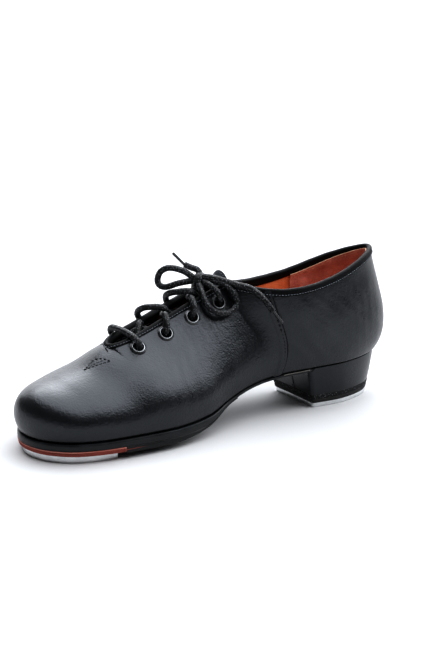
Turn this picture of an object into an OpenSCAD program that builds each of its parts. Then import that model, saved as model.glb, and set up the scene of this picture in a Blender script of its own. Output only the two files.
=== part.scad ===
// Tap shoe, right foot: laced leather upper, covered heel, metal toe and heel taps.
// Units are millimetres. The toe points to -Y, the inner (medial) side of the foot is +X, Z is up,
// and the taps stand on z = 0.

/* [Upper] */
// Thickness of the outer leather
leather_t = 1.2; // [1:0.1:1.4]
// Thickness of the lining
lining_t = 0.8; // [0.6:0.1:1]
// Thickness of the stiffeners between leather and lining
stiffener_t = 0.8; // [0.6:0.1:0.9]
// Width of the lasting margin turned in under the foot
margin_w = 10; // [8:0.5:12]
// Half width of the lace opening
slot_half_w = 8.6; // [8:0.1:9]
// Depth of the edge binding over the leather round the collar
collar_binding = 3.4; // [2.8:0.1:4]
// Depth of the edge binding beside the eyelets
facing_binding = 2.3; // [2:0.1:2.4]

/* [Lacing] */
// Diameter of the lace
lace_d = 3; // [2.6:0.1:3]
// Outer diameter of an eyelet
eyelet_d = 10.4; // [9.5:0.1:11]
// Bore of an eyelet
eyelet_bore = 6.2; // [5.8:0.1:6.6]
// Length of a lace tip
tip_l = 10.5; // [9:0.5:12]

/* [Sole] */
// Thickness of the outsole under the ball and toes
outsole_t = 4.5; // [4:0.1:5]
// Thickness of the outsole under the waist and the heel
waist_t = 1.8; // [1.6:0.1:2.4]
// Thickness of the half sole
half_sole_t = 4; // [3.6:0.1:4]
// Thickness of the sound board over the toe tap
toe_board_t = 3.1; // [2.8:0.1:3.1]
// Thickness of the insole board
insole_t = 2.2; // [1.8:0.1:2.4]
// Thickness of the sock lining
sock_t = 1.1; // [0.8:0.1:1.3]
// How far the outsole stands out past the upper
sole_edge = 1.5; // [1:0.1:2]

/* [Heel] */
// Thickness of the heel tap
heel_tap_t = 3; // [2.6:0.1:3.2]
// Thickness of the heel sound board
heel_board_t = 2.6; // [2.2:0.1:2.8]
// Thickness of the heel lift
heel_lift_t = 3; // [2.6:0.1:3.2]
// Thickness of the leather cover on the heel block
heel_cover_t = 1; // [0.8:0.1:1.2]

/* [Taps] */
// Thickness of the toe tap
toe_tap_t = 4.8; // [4.4:0.1:4.8]
// Head diameter of a tap screw
screw_head_d = 6.6; // [6:0.1:7]
// Shank diameter of a tap screw
screw_d = 2.8; // [2.4:0.1:3]
// Length of a tap screw
screw_l = 11; // [10:0.5:11.5]

/* [Hidden] */
fit = 0.05;
// Gap between layers that are bent over different curves
layer_gap = 0.2;

// ---- Stations -------------------------------------------------------------
// Station s runs round the shoe: 0 at the toe, 12 at the heel, positive on the medial side and
// negative on the lateral side. The feather line is where the upper meets the sole.
feather_medial = [[4.5, -131], [20.5, -127], [33.5, -115], [40.5, -97], [43, -74], [43.2, -48],
    [38.4, -22], [30.6, 3], [26.8, 32], [28.5, 64], [29.5, 93], [21, 117.5], [5.5, 129]];
feather_lateral = [[4.5, -131], [-10.5, -127], [-24.5, -116], [-35.5, -98], [-42.5, -74], [-42.5, -47],
    [-37.5, -19], [-31.5, 7], [-26.5, 35], [-23.5, 65], [-20.5, 93], [-12.5, 119], [5.5, 129]];
// Centre line over the toe, along the ridge and up the lace opening, stations 0 to 8
ridge = [[5.5, -113, 42], [5.5, -113, 42], [5.5, -113, 42], [5.5, -106, 43.5], [5.5, -91, 48.5],
    [4, -73, 60], [1, -47, 68], [-1, -19, 77.5], [-1, 9, 87]];
// Collar from the medial facing round the heel to the lateral facing
collar = [[8.2, 9, 87], [29.5, 42, 83], [29.5, 77, 85.5], [21.5, 109, 93.5], [4.5, 126, 96.5],
    [-13.5, 109, 90], [-23.5, 77, 80], [-21.5, 42, 78.5], [-10.2, 9, 86]];
// Underside of the outsole: its height every 20 mm from y = -140 to y = 140
sole_line = [8, 8, 8, 8, 8, 8, 10, 17.8, 22.9, 25.1, 25.8, 26.1, 26.6, 27.1, 27.6];
// Shape of the wall at each station: outward lean and reach at the feather line, then reach and
// downward slope at the top edge
lean = [0.52, 0.5, 0.48, 0.42, 0.32, 0.28, 0.26, 0.22, 0.22, 0.28, 0.36, 0.56, 0.7];
low_reach = [0.49, 0.48, 0.46, 0.42, 0.38, 0.36, 0.36, 0.36, 0.36, 0.36, 0.34, 0.34, 0.34];
top_reach = [0.55, 0.55, 0.52, 0.48, 0.44, 0.4, 0.36, 0.34, 0.34, 0.34, 0.34, 0.34, 0.34];
top_slope = [0, 0, 0, 0, -2, -16, -34, -46, -62, -76, -80, -82, -82];

throat_s = 5;
corner_s = 8;
last_s = 12;
seam_s = 8.75;

function clamp(v, a, b) = min(max(v, a), b);
function unit(v) = v / max(norm(v), 0.000001);
function mix(a, b, w) = a * (1 - w) + b * w;
function smooth(w) = let(c = clamp(w, 0, 1)) c * c * (3 - 2 * c);

// Point at parameter v (0 to len - 1) of a smooth curve through the points p
function curve(p, v) =
    let(n = len(p) - 1, i = clamp(floor(v), 0, n - 1), w = v - i,
        m1 = i > 0 ? (p[i + 1] - p[i - 1]) / 2 : p[1] - p[0],
        m2 = i + 2 <= n ? (p[i + 2] - p[i]) / 2 : p[n] - p[n - 1])
    (2 * w * w * w - 3 * w * w + 1) * p[i] + (w * w * w - 2 * w * w + w) * m1
    + (3 * w * w - 2 * w * w * w) * p[i + 1] + (w * w * w - w * w) * m2;

// The feather line as one closed loop from the heel round the toe and back, one point past each end
feather_loop = concat([feather_medial[11]], [for (i = [12:-1:1]) feather_lateral[i]], feather_medial,
    [feather_lateral[11]]);
function feather_xy(s) = curve(feather_loop, clamp(s, -last_s, last_s) + 13);
function sole_z(y) = curve(sole_line, (y + 140) / 20);
// Outward horizontal direction at the feather line
function outward(s) =
    let(e = 0.02, d = feather_xy(min(s + e, last_s)) - feather_xy(max(s - e, -last_s)),
        n = unit([d[1], -d[0], 0]))
    abs(s) > 11.99 ? [0, 1, 0] : n;
// The outsole is skived thinner from the ball back to the waist
function sole_t(y) = mix(outsole_t, waist_t, smooth((y + 28) / 30));
seat_gap = 0.25;
function seat_z(y) = sole_z(y) + sole_t(y) + seat_gap;
function feather(s) = let(p = feather_xy(s)) [p[0], p[1], seat_z(p[1])];

function slot_w(a) =
    let(u = clamp((a - throat_s) / (corner_s - throat_s), 0, 1), v = 1 - min(u / 0.2, 1))
    slot_half_w * sqrt(1 - v * v) + 0.6 * u;
// The same width spread over a longer run, which the wall below the edge follows
function slot_soft(a) = slot_half_w * smooth((a - 4) / 2.2) + 0.6 * clamp((a - throat_s) / 3, 0, 1);
function edge(s) =
    let(a = abs(s), side = s < 0 ? -1 : 1)
    a <= corner_s
        ? curve(ridge, a) + [side * slot_w(a), 0, side < 0 ? -clamp((a - throat_s) / 3, 0, 1) : 0]
        : curve(collar, s > 0 ? a - corner_s : 16 - a);
function keyed(list, s) = curve(list, abs(s));

// Wall of the upper: h is 0 at the feather line and 1 at the top edge
function skin(s, h) =
    let(a = abs(s), f = feather(s), top = edge(s), n = outward(s),
        shift = a > corner_s ? 0 : (s < 0 ? -1 : 1) * (slot_soft(a) - slot_w(a)),
        t = top + [shift, 0, 0], reach = norm(t - f),
        b = keyed(lean, s), radial = unit([f[0] - t[0], f[1] - t[1], 0]),
        across = [s < 0 ? -1 : 1, 0, 0],
        o1 = mix(radial, across, smooth((a - 1.8) / 1.6) * (1 - smooth((a - 4.6) / 1.4))),
        o = unit(mix(o1, n, clamp((a - 7) / 2, 0, 1))),
        slope = keyed(top_slope, s),
        p1 = f + reach * keyed(low_reach, s) * (n * b + [0, 0, sqrt(1 - b * b)]),
        p2 = t + reach * keyed(top_reach, s) * (o * cos(slope) + [0, 0, sin(slope)]),
        g = 1 - h, last = t - [shift, 0, 0] * smooth((h - 0.75) / 0.25))
    g * g * g * f + 3 * g * g * h * p1 + 3 * g * h * h * p2 + h * h * h * last;

function ridge_normal(a) =
    let(v = clamp(a, 3, throat_s), d = curve(ridge, v + 0.02) - curve(ridge, v - 0.02))
    unit([0, -d[2], d[1]]);
// Outward normal of the wall
function wall_normal(s, h) =
    let(a = abs(s), side = s < 0 ? -1 : 1, hh = clamp(h, 0.02, 0.97), e = 0.01,
        ds = skin(min(s + e, last_s), hh) - skin(max(s - e, -last_s), hh),
        dh = skin(s, hh + e) - skin(s, hh - e))
    h > 0.999 && a <= throat_s ? ridge_normal(a) : unit(cross(ds, dh));
function wall(s, h, depth) = skin(s, h) - depth * wall_normal(s, h);

// Side seam: station of the seam at height h
function seam(h) = seam_s - 0.5 * (1 - h) * (1 - h);

// ---- Solids from grids ----------------------------------------------------
function flat(list) = [for (row = list) each row];
// Triangles of a grid of r rows and c columns whose first point has index base
function grid_faces(r, c, base, flip) = [for (i = [0:r - 2], j = [0:c - 2])
    let(p = base + i * c + j, q = p + c)
    each flip ? [[p, q, p + 1], [p + 1, q, q + 1]] : [[p, p + 1, q], [p + 1, q + 1, q]]];
// Triangles between two rows of points
function strip_faces(p, q, flip) = len(p) < 2 ? [] : [for (k = [0:len(p) - 2])
    each flip ? [[p[k], q[k], p[k + 1]], [p[k + 1], q[k], q[k + 1]]]
        : [[p[k], p[k + 1], q[k]], [p[k + 1], q[k + 1], q[k]]]];
// Triangles whose three points all differ
function real_faces(points, faces) = [for (f = faces)
    if (norm(points[f[0]] - points[f[1]]) > 0.0001 && norm(points[f[1]] - points[f[2]]) > 0.0001
        && norm(points[f[2]] - points[f[0]]) > 0.0001) f];
module solid(points, faces) {
    polyhedron(points = points, faces = real_faces(points, faces));
}

// Closed shell between an outer and an inner grid of the same size. From row joined[0] to row
// joined[1] the far edge of the grid meets itself along a ridge, so it needs no rim there.
module shell(outer, inner, joined = [0, 0]) {
    r = len(outer);
    c = len(outer[0]);
    n = r * c;
    first = [for (j = [0:c - 1]) j];
    final = [for (j = [0:c - 1]) (r - 1) * c + j];
    near = [for (i = [0:r - 1]) i * c];
    far_1 = [for (i = [0:1:joined[0]]) i * c + c - 1];
    far_2 = [for (i = [joined[1]:1:r - 1]) i * c + c - 1];
    solid(concat(flat(outer), flat(inner)), concat(
        grid_faces(r, c, 0, false),
        grid_faces(r, c, n, true),
        strip_faces(first, [for (k = first) k + n], true),
        strip_faces(final, [for (k = final) k + n], false),
        strip_faces(near, [for (k = near) k + n], false),
        strip_faces(far_1, [for (k = far_1) k + n], true),
        strip_faces(far_2, [for (k = far_2) k + n], true)));
}

// Band that closes on itself both ways: each ring is a closed profile, the last meets the first
module band(rings) {
    r = len(rings);
    c = len(rings[0]);
    solid(flat(rings), [for (i = [0:r - 1], j = [0:c - 1])
        let(p = i * c + j, q = i * c + (j + 1) % c, m = ((i + 1) % r) * c + j,
            n = ((i + 1) % r) * c + (j + 1) % c)
        each [[p, q, m], [q, n, m]]]);
}

// Solid between a medial and a lateral side: each rung is [medial low, lateral low, lateral high,
// medial high]
module ladder(rungs) {
    r = len(rungs);
    solid(flat(rungs), concat(
        [for (i = [0:r - 2], j = [0:3])
            let(p = i * 4 + j, q = i * 4 + (j + 1) % 4, m = p + 4, n = q + 4)
            each [[p, m, q], [q, m, n]]],
        [[0, 1, 2], [0, 2, 3]],
        [[r * 4 - 4, r * 4 - 2, r * 4 - 3], [r * 4 - 4, r * 4 - 1, r * 4 - 2]]));
}

// Height of the underside (k = 0) or of the top (k = 1) of the outsole
function base_z(k, y) = sole_z(y) + (k == 1 ? sole_t(y) : 0);
// Layer under the foot that follows the sole. Lists give, for each station, how far it is grown
// sideways and its lower and upper heights over the outsole's underside or top, as on[] says
module layer(stations, off, low, high, on) {
    ladder([for (i = [0:len(stations) - 1])
        let(s = stations[i], m = feather(s) + off[i] * outward(s), l = feather(-s) + off[i] * outward(-s))
        [[m[0], m[1], base_z(on[0], m[1]) + low[i]], [l[0], l[1], base_z(on[0], l[1]) + low[i]],
            [l[0], l[1], base_z(on[1], l[1]) + high[i]], [m[0], m[1], base_z(on[1], m[1]) + high[i]]]]);
}
function level(stations, z) = [for (s = stations) z];
// How far the outsole stands out past the upper: not at all from the waist back
function edge_off(stations, less) = [for (s = stations) sole_edge * (1 - smooth((s - 5.6) / 2)) - less];

// Round tube along points, with flat ends
module tube(path, d, sides = 8) {
    n = len(path);
    along = [for (i = [0:n - 1]) unit(path[min(i + 1, n - 1)] - path[max(i - 1, 0)])];
    start = unit(cross(along[0], abs(along[0][2]) < 0.8 ? [0, 0, 1] : [1, 0, 0]));
    side = [for (i = 0, v = start; i < n; i = i + 1,
        v = unit(v - along[min(i, n - 1)] * (v * along[min(i, n - 1)]))) v];
    rings = [for (i = [0:n - 1])
        let(u = unit(side[i] - along[i] * (side[i] * along[i])), w = cross(along[i], u))
        [for (k = [0:sides - 1]) path[i] + d / 2 * (u * cos(k * 360 / sides) + w * sin(k * 360 / sides))]];
    solid(flat(rings), concat(
        [for (i = [0:n - 2], k = [0:sides - 1])
            let(p = i * sides + k, q = i * sides + (k + 1) % sides)
            each [[p, p + sides, q], [q, p + sides, q + sides]]],
        [[for (k = [0:sides - 1]) k]],
        [[for (k = [sides - 1:-1:0]) (n - 1) * sides + k]]));
}

// Child placed at a point with its Z axis along a direction
module aim(at, dir) {
    translate(at) rotate([0, acos(dir[2] / norm(dir)), atan2(dir[1], dir[0])]) children();
}

// ---- Upper ----------------------------------------------------------------
front_half = [0, 0.35, 0.7, 1.05, 1.4, 1.75, 2.1, 2.5, 2.9, 3.3, 3.7, 4.1, 4.5, 4.8, 5, 5.03, 5.1, 5.22, 5.4,
    5.6, 5.9, 6.3, 6.7, 7.1, 7.5, 8, 8.4, 8.73];
front_n = len(front_half);
throat_i = 14;
wall_heights = [-1, 0, 0.05, 0.12, 0.2, 0.3, 0.4, 0.5, 0.6, 0.7, 0.8, 0.88, 0.95, 1];
function both(half) = concat([for (i = [len(half) - 1:-1:1]) -half[i]], half);
front_rows = both(front_half);
joined_rows = [front_n - 1 - throat_i, front_n - 1 + throat_i];

// Stations drawn back so that the last one follows the side seam
function vamp_s(s, h) = s * seam(clamp(h, 0, 1)) / seam_s;
function quarter_s(w, h) = mix(seam(clamp(h, 0, 1)) + 0.02, 11.97, w);
function margin(s, w, lift) =
    let(p = feather(s) - w * outward(s))
    [p[0], p[1], seat_z(p[1]) + lift];
function leather_out(s, h) = h < 0 ? margin(s, margin_w, 0) : skin(s, h);
function leather_in(s, h) = h < 0 ? margin(s, margin_w, leather_t)
    : h == 0 ? margin(s, leather_t, leather_t) : wall(s, h, leather_t);

eyelet_h = 0.88;
function eyelet_s(k) = 5.42 + 0.757 * k;
module eyelet_places(side) {
    for (k = [0:3])
        aim(skin(side * eyelet_s(k), eyelet_h), wall_normal(side * eyelet_s(k), eyelet_h)) children();
}
module eyelet_holes(side) {
    eyelet_places(side) translate([0, 0, -6]) cylinder(d = eyelet_bore + 1 + 2 * fit, h = 9, $fn = 32);
}

module vamp() {
    color("#24272b") difference() {
        shell([for (s = front_rows) [for (h = wall_heights) leather_out(vamp_s(s, h), h)]],
            [for (s = front_rows) [for (h = wall_heights) leather_in(vamp_s(s, h), h)]], joined_rows);
        eyelet_holes(1);
        eyelet_holes(-1);
    }
}

quarter_rows = [for (k = [0:12]) k / 12];
module quarter(side) {
    rows = side > 0 ? quarter_rows : [for (k = [12:-1:0]) quarter_rows[k]];
    color("#24272b")
        shell([for (w = rows) [for (h = wall_heights) leather_out(side * quarter_s(w, h), h)]],
            [for (w = rows) [for (h = wall_heights) leather_in(side * quarter_s(w, h), h)]]);
}
module quarter_medial() quarter(1);
module quarter_lateral() quarter(-1);

// Depths of the layers behind the outer leather
stiffener_in = leather_t + fit;
lining_in = stiffener_in + stiffener_t + layer_gap;
lining_back = lining_in + lining_t;

// Height on the wall where the lining starts, just over the insole board
function lining_h(s) =
    let(f = feather(s), reach = norm(edge(s) - f) * keyed(low_reach, s))
    1.55 / (reach * sqrt(1 - pow(keyed(lean, s), 2)));
lining_steps = [0, 0.14, 0.28, 0.42, 0.56, 0.68, 0.79, 0.88, 0.95, 1];
function lining_at(s, w) = mix(lining_h(s), 1, w);
lining_half = concat([0, 0.7, 1.4, 2.1, 2.9, 3.7, 4.5], [for (i = [throat_i:front_n - 1]) front_half[i]]);
lining_rows = both(lining_half);

module vamp_lining() {
    n = len(lining_half);
    function place(s, w, depth) = let(h = lining_at(s, w)) wall(vamp_s(s, h), h, depth);
    color("#c8602c") difference() {
        shell([for (s = lining_rows) [for (w = lining_steps) place(s, w, lining_in)]],
            [for (s = lining_rows) [for (w = lining_steps) place(s, w, lining_back)]],
            [n - 1 - 7, n - 1 + 7]);
        eyelet_holes(1);
        eyelet_holes(-1);
    }
}

// Share of the quarter where the front lining ends and the heel grip starts
grip_w = 0.5;
module side_lining(side) {
    list = [for (k = [0:12]) if (quarter_rows[k] < grip_w) quarter_rows[k]];
    ends = concat(list, [grip_w - 0.01]);
    rows = side > 0 ? ends : [for (k = [len(ends) - 1:-1:0]) ends[k]];
    function place(w, v, depth) = let(h = lining_at(9, v)) wall(side * quarter_s(w, h), h, depth);
    color("#d2612b")
        shell([for (w = rows) [for (v = lining_steps) place(w, v, lining_in)]],
            [for (w = rows) [for (v = lining_steps) place(w, v, lining_back)]]);
}
module quarter_lining_medial() side_lining(1);
module quarter_lining_lateral() side_lining(-1);

// Rows round the back of the heel: [side, share of the quarter], from the medial to the lateral side
function round_heel(from) = let(list = [for (w = quarter_rows) if (w >= from - 0.001) w], n = len(list) - 1)
    concat([for (w = list) [1, w]], [for (k = [n:-1:0]) [-1, list[k]]]);

module heel_grip() {
    rows = round_heel(grip_w);
    function place(r, v, depth) =
        let(h = lining_at(10, v)) wall(r[0] * quarter_s(r[1], h), h, depth);
    color("#96493f")
        shell([for (r = rows) [for (v = lining_steps) place(r, v, lining_in)]],
            [for (r = rows) [for (v = lining_steps) place(r, v, lining_back)]]);
}

module heel_counter() {
    rows = round_heel(0.33);
    function place(r, h, depth) = wall(r[0] * quarter_s(r[1], h), h, depth);
    hs = [for (h = wall_heights) if (h > 0.03 && h < 0.75) h];
    color("#b9a98c")
        shell([for (r = rows) [for (h = hs) place(r, h, stiffener_in)]],
            [for (r = rows) [for (h = hs) place(r, h, stiffener_in + stiffener_t)]]);
}

puff_rows = both([for (i = [0:10]) front_half[i]]);
module toe_puff() {
    hs = [for (h = wall_heights) if (h > 0.1 && h < 0.85) h];
    color("#b9a98c")
        shell([for (s = puff_rows) [for (h = hs) wall(vamp_s(s, h), h, stiffener_in)]],
            [for (s = puff_rows) [for (h = hs) wall(vamp_s(s, h), h, stiffener_in + stiffener_t)]]);
}

// Reinforcing strip behind a row of eyelets
module eyelet_stay(side) {
    list = [for (i = [18:25]) side * front_half[i]];
    rows = side > 0 ? list : [for (i = [len(list) - 1:-1:0]) list[i]];
    hs = [0.7, 0.8, 0.88, 0.95];
    color("#c9c2b2") difference() {
        shell([for (s = rows) [for (h = hs) wall(vamp_s(s, h), h, stiffener_in)]],
            [for (s = rows) [for (h = hs) wall(vamp_s(s, h), h, stiffener_in + stiffener_t)]]);
        eyelet_holes(side);
    }
}
module eyelet_stay_medial() eyelet_stay(1);
module eyelet_stay_lateral() eyelet_stay(-1);

// Folded binding round the whole opening: up one side of the lace opening, round the collar and back
binding_t = 0.6;
binding_half = concat([for (i = [throat_i:front_n - 1]) front_half[i]],
    [for (w = quarter_rows) quarter_s(w, 1)]);
binding_n = len(binding_half);
binding_stations = concat(binding_half, [for (i = [binding_n - 1:-1:1]) -binding_half[i]]);
module edge_binding() {
    r = len(binding_stations);
    pts = [for (s = binding_stations) edge(s)];
    gap = 0.15;
    over = gap + binding_t;
    under = lining_back + gap;
    color("#15171a") band([for (i = [0:r - 1])
        let(s = binding_stations[i], e = pts[i],
            t = unit(pts[(i + 1) % r] - pts[(i + r - 1) % r]),
            n = abs(s) < 5.001 ? ridge_normal(5) : wall_normal(s, 1),
            d = unit(cross(n, t)),
            depth = mix(facing_binding, collar_binding, smooth((abs(s) - 7.8) / 0.8)))
        [for (ab = [[over, -depth], [over, over], [-under - binding_t, over], [-under - binding_t, -depth],
            [-under, -depth], [-under, gap], [gap, gap], [gap, -depth]]) e + n * ab[0] + d * ab[1]]]);
}

module eyelet_row(side) {
    r = eyelet_bore / 2;
    seat = 0.4;
    flange = 0.7;
    color("#2b2b2e") eyelet_places(side) rotate_extrude($fn = 32) union() {
        polygon([[r, -4.2], [r + 0.5, -4.2], [r + 0.5, seat], [eyelet_d / 2, seat],
            [eyelet_d / 2 - 0.4, seat + flange], [r + 0.6, seat + 0.2 + flange], [r, seat + 0.3]]);
        translate([0, -4.5]) polygon([[r, 0], [r + 1.5, 0.1], [r + 1.5, 0.6], [r, 0.6]]);
    }
}
module eyelets_medial() eyelet_row(1);
module eyelets_lateral() eyelet_row(-1);

// ---- Tongue ---------------------------------------------------------------
tongue_t = 1.2;
// Depth of the tongue under the facings, which leaves room for the lace
tongue_depth = 8;
tongue_heights = [0.72, 0.79, 0.86, 0.93, 1];
tongue_stations = [4.5, 4.8, 5.1, 5.5, 6, 6.5, 7, 7.5, 7.9];
// Reach past the last station and how far each end row is drawn in
tongue_top = [[4, 0.02], [8, 0.07], [10.5, 0.16]];
// One row across the tongue at a station, from the medial side to the lateral side
function tongue_row(a, depth) =
    let(d = depth + mix(lining_back + 0.5, tongue_depth, smooth((a - 4.4) / 1.2)),
        m = [for (h = tongue_heights) wall(a, h, d)],
        l = [for (i = [4:-1:0]) wall(-a, tongue_heights[i], d)],
        gap = norm(m[4] - l[0]))
    concat(m, [for (w = [0.25, 0.5, 0.75]) mix(m[4], l[0], w) + [0, 0, 0.3 * gap * w * (1 - w)]], l);
// Row past the last station, rising and drawn in towards the centre line
function tongue_end(depth, reach, narrow) =
    let(p = tongue_row(7.9, depth), q = tongue_row(7.4, depth), c = p[6][0])
    [for (j = [0:len(p) - 1])
        let(droop = 1 - 0.4 * pow((j - 6) / 6, 2),
            e = p[j] + droop * reach * (0.55 * unit(p[j] - q[j]) + [0, 0, 0.75]))
        [mix(e[0], c, narrow), e[1], e[2]]];
function tongue_grid(depth) = concat([for (a = tongue_stations) tongue_row(a, depth)],
    [for (e = tongue_top) tongue_end(depth, e[0], e[1])]);
module tongue() {
    color("#2b2e33") shell(tongue_grid(0), tongue_grid(tongue_t));
}
module tongue_lining() {
    color("#d2612b") shell(tongue_grid(tongue_t + fit), tongue_grid(tongue_t + fit + lining_t));
}

// ---- Lace -----------------------------------------------------------------
// One lace: from the knot through the lateral top eyelet, down the crossings to the bar over the
// first pair of eyelets, and up the other way to the knot
thread_route = [[-4, -2.5, 89.5], [-11, 0.5, 87], [-15.8, 2.8, 82.5], [-16.2, 3.2, 79], [-13.5, 3.5, 77],
    [-8.8, 4.2, 74.4], [-4, -6, 79.2], [-1, -10.5, 80], [4, -14, 81.2], [9.8, -15.6, 82.2],
    [13.8, -16.6, 78.4], [14.4, -17.2, 74.5], [12, -17, 71.5], [7.6, -17, 68.4], [2.6, -27, 72.2],
    [3, -31.5, 76.6], [2, -35.2, 78], [-1, -38.8, 77.8], [-5.5, -41, 76.6], [-11, -41.6, 73.6],
    [-14.6, -40.3, 70.2], [-15.5, -38.3, 67], [-13.2, -37.4, 64.3], [-9.1, -37, 60.8],
    [-3, -44, 65.6], [1.4, -48.5, 69.2], [7.6, -54, 60.6], [15, -58.8, 55.2], [18, -59, 59.7],
    [19.2, -59.8, 62.8], [16, -61, 65.6], [10.5, -61.8, 67], [2.5, -62.5, 67.6], [-5.5, -62.3, 67],
    [-11.5, -61, 65.4], [-14.6, -59.8, 62.6], [-13, -59, 59.5], [-10, -58.4, 55.2],
    [-4.6, -54, 60.2], [-1.4, -49, 64.4], [4.2, -44, 65.2], [10.4, -37.8, 61], [14.4, -38, 64.7],
    [16.3, -38.2, 67.2], [15, -37, 71.4], [10.6, -35.5, 75], [4, -33, 72.4], [-2.4, -29, 71.6],
    [-4.8, -24.5, 71.2], [-9.1, -16.6, 68.2], [-13.6, -16.6, 71], [-16, -17.3, 73.5],
    [-15.2, -19, 77.5], [-11.6, -20.5, 80.6], [-6.5, -20.5, 83], [-1, -18.5, 84.6], [4.4, -15.2, 85.8],
    [4, -10.5, 83.6], [2.6, -5.5, 79.6], [7, 3.2, 75], [11.7, 3, 77.7], [14.3, 2.6, 80],
    [13.4, 1, 84.9], [8.6, -1.5, 88.4], [3, -3, 89.8]];
left_loop = [[-2.5, -6, 91.5], [-6, -10.5, 95.2], [-10, -14.7, 97], [-14, -18.5, 97], [-17, -21.8, 94.2],
    [-18, -23.2, 89.3], [-16, -22.8, 86], [-12.5, -20, 85.4], [-7, -14.5, 88.2], [-3.5, -7.5, 89.5]];
right_loop = [[2.5, -1.5, 89.6], [7, 3.5, 89.8], [12, 9, 87.4], [17, 12, 82], [19, 12, 76.5],
    [19.6, 7.5, 72.8], [19.6, 0, 72.6], [16.8, -5, 75], [13.4, -7.6, 79.4], [9.3, -7.4, 84.2],
    [3, -5.5, 88.2]];
lace_end_up = [[-1.5, -2, 93], [-4, -2.5, 95.8], [-6, -6, 97.4], [-8, -9.5, 99.3]];
lace_end_back = [[1.8, -2.2, 92.6], [6, 3, 91.9], [10.7, 8.8, 90], [16, 14.2, 88], [21.6, 20.5, 86],
    [26.8, 26.4, 80], [30.6, 31.6, 72]];
knot_at = [-0.5, -3.5, 90.5];

module lace_threaded() {
    color("#2a2c30") tube(thread_route, lace_d);
}
module lace_knot() {
    color("#2a2c30") translate(knot_at) scale([1.15, 1, 0.8]) sphere(d = 8, $fn = 14);
}
module lace_bow() {
    color("#2a2c30") {
        tube(left_loop, lace_d);
        tube(right_loop, lace_d);
        tube(lace_end_up, lace_d);
        tube(lace_end_back, lace_d);
    }
}
module lace_tip(at, dir) {
    color("#101114") aim(at, dir) translate([0, 0, 0.05]) cylinder(d = 1.9, h = tip_l, $fn = 24);
}
module lace_tips() {
    lace_tip(lace_end_up[3], [-4, -5.6, 7]);
    lace_tip(lace_end_back[6], [2.4, 6, -8.6]);
}

// ---- Sole -----------------------------------------------------------------
sole_stations = [0, 0.3, 0.7, 1.2, 1.8, 2.4, 3, 3.4, 3.8, 4.2, 4.6, 5, 5.25, 5.5, 5.7, 5.9, 6.1,
    6.3, 6.5, 6.7, 6.9, 7.1, 7.5, 8, 8.5, 9, 9.7, 10.4, 11, 11.5, 11.8, 12];
insole_low = seat_gap + leather_t + 0.15;
insole_top = insole_low + insole_t;

toe_screws = [[-13, -110], [24, -110], [5.5, -94]];
heel_screws = [[5, 78], [-8, 104], [18, 104]];
nails = [[-10, 82], [17, 82], [-2, 112], [10, 110]];
nail_d = 1.8;
module toe_pilots() {
    for (p = toe_screws) translate([p[0], p[1], 0]) cylinder(d = screw_d + 2 * fit, h = screw_l + 0.6, $fn = 24);
}
module heel_pilots() {
    for (p = heel_screws) translate([p[0], p[1], 0]) cylinder(d = screw_d + 2 * fit, h = screw_l + 0.6, $fn = 24);
}
nail_top = 31;
nail_l = 20;
module nail_holes() {
    for (p = nails) translate([p[0], p[1], nail_top - nail_l - 0.3]) cylinder(d = nail_d + 2 * fit, h = 40, $fn = 16);
}

module outsole() {
    color("#33373b") difference() {
        layer(sole_stations, edge_off(sole_stations, 0), level(sole_stations, 0), level(sole_stations, 0), [0, 1]);
        toe_pilots();
        nail_holes();
    }
}

board_end = 3.6;
board_stations = [0, 0.3, 0.7, 1.2, 1.8, 2.4, 3, 3.3, board_end];
module toe_sound_board() {
    color("#b5523f") difference() {
        layer(board_stations, edge_off(board_stations, 0.5), level(board_stations, -toe_board_t),
            level(board_stations, -0.1), [0, 0]);
        toe_pilots();
    }
}
half_sole_stations = concat([board_end + 0.01], [for (s = sole_stations) if (s > 3.7 && s < 7.2) s]);
half_sole_end_t = 0.8;
module half_sole() {
    drop = [for (s = half_sole_stations) -mix(half_sole_t, half_sole_end_t, smooth((s - 4.8) / 2))];
    color("#1b1d20")
        layer(half_sole_stations, edge_off(half_sole_stations, 0.5), drop, level(half_sole_stations, -0.3), [0, 0]);
}

module insole_board() {
    color("#a58a63") difference() {
        layer(sole_stations, level(sole_stations, -leather_t - 0.3), level(sole_stations, insole_low),
            level(sole_stations, insole_top), [1, 1]);
        nail_holes();
    }
}
module sock_lining() {
    color("#d9a066")
        layer(sole_stations, level(sole_stations, -lining_back - 0.35), level(sole_stations, insole_top + 0.3),
            level(sole_stations, insole_top + 0.3 + sock_t), [1, 1]);
}
filler_stations = [for (s = sole_stations) if (s < 5.7) s];
module bottom_filler() {
    color("#c49a6c")
        layer(filler_stations, level(filler_stations, -margin_w - 0.8), level(filler_stations, seat_gap),
            level(filler_stations, seat_gap + leather_t), [1, 1]);
}
// Steel shank: a strip along the waist, under the insole board
shank_w = 12;
shank_t = 1;
shank_y = [for (y = [-28:6:68]) y];
module shank() {
    color("silver") ladder([for (y = shank_y)
        let(x = mix(2, 4, (y + 28) / 98), z = base_z(1, y) + 0.35, w = shank_w / 2)
        [[x + w, y, z], [x - w, y, z], [x - w, y, z + shank_t], [x + w, y, z + shank_t]]]);
}

// Toe tap: its edge follows the sole round the toe, set in, and a shallow curve closes it behind
tap_end = 3.45;
function tap_front(inset) = [for (k = [-24:24])
    let(s = tap_end * k / 24, p = feather(s) - (inset + 2.1 * pow(k / 24, 4)) * outward(s)) [p[0], p[1]]];
tap_rear_line = [[36.5, -88], [31, -86], [19, -85.2], [5, -87.5], [-9, -85.6], [-21, -86], [-30, -87.5],
    [-34.5, -89.5]];
function tap_rear(inset) = [for (v = [0:0.25:7]) let(w = curve(tap_rear_line, v))
    [w[0] * (1 - 0.02 * inset), w[1] - inset]];
module tap_plate(inset) {
    polygon(concat(tap_front(1.5 + inset), tap_rear(inset)));
}
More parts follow.
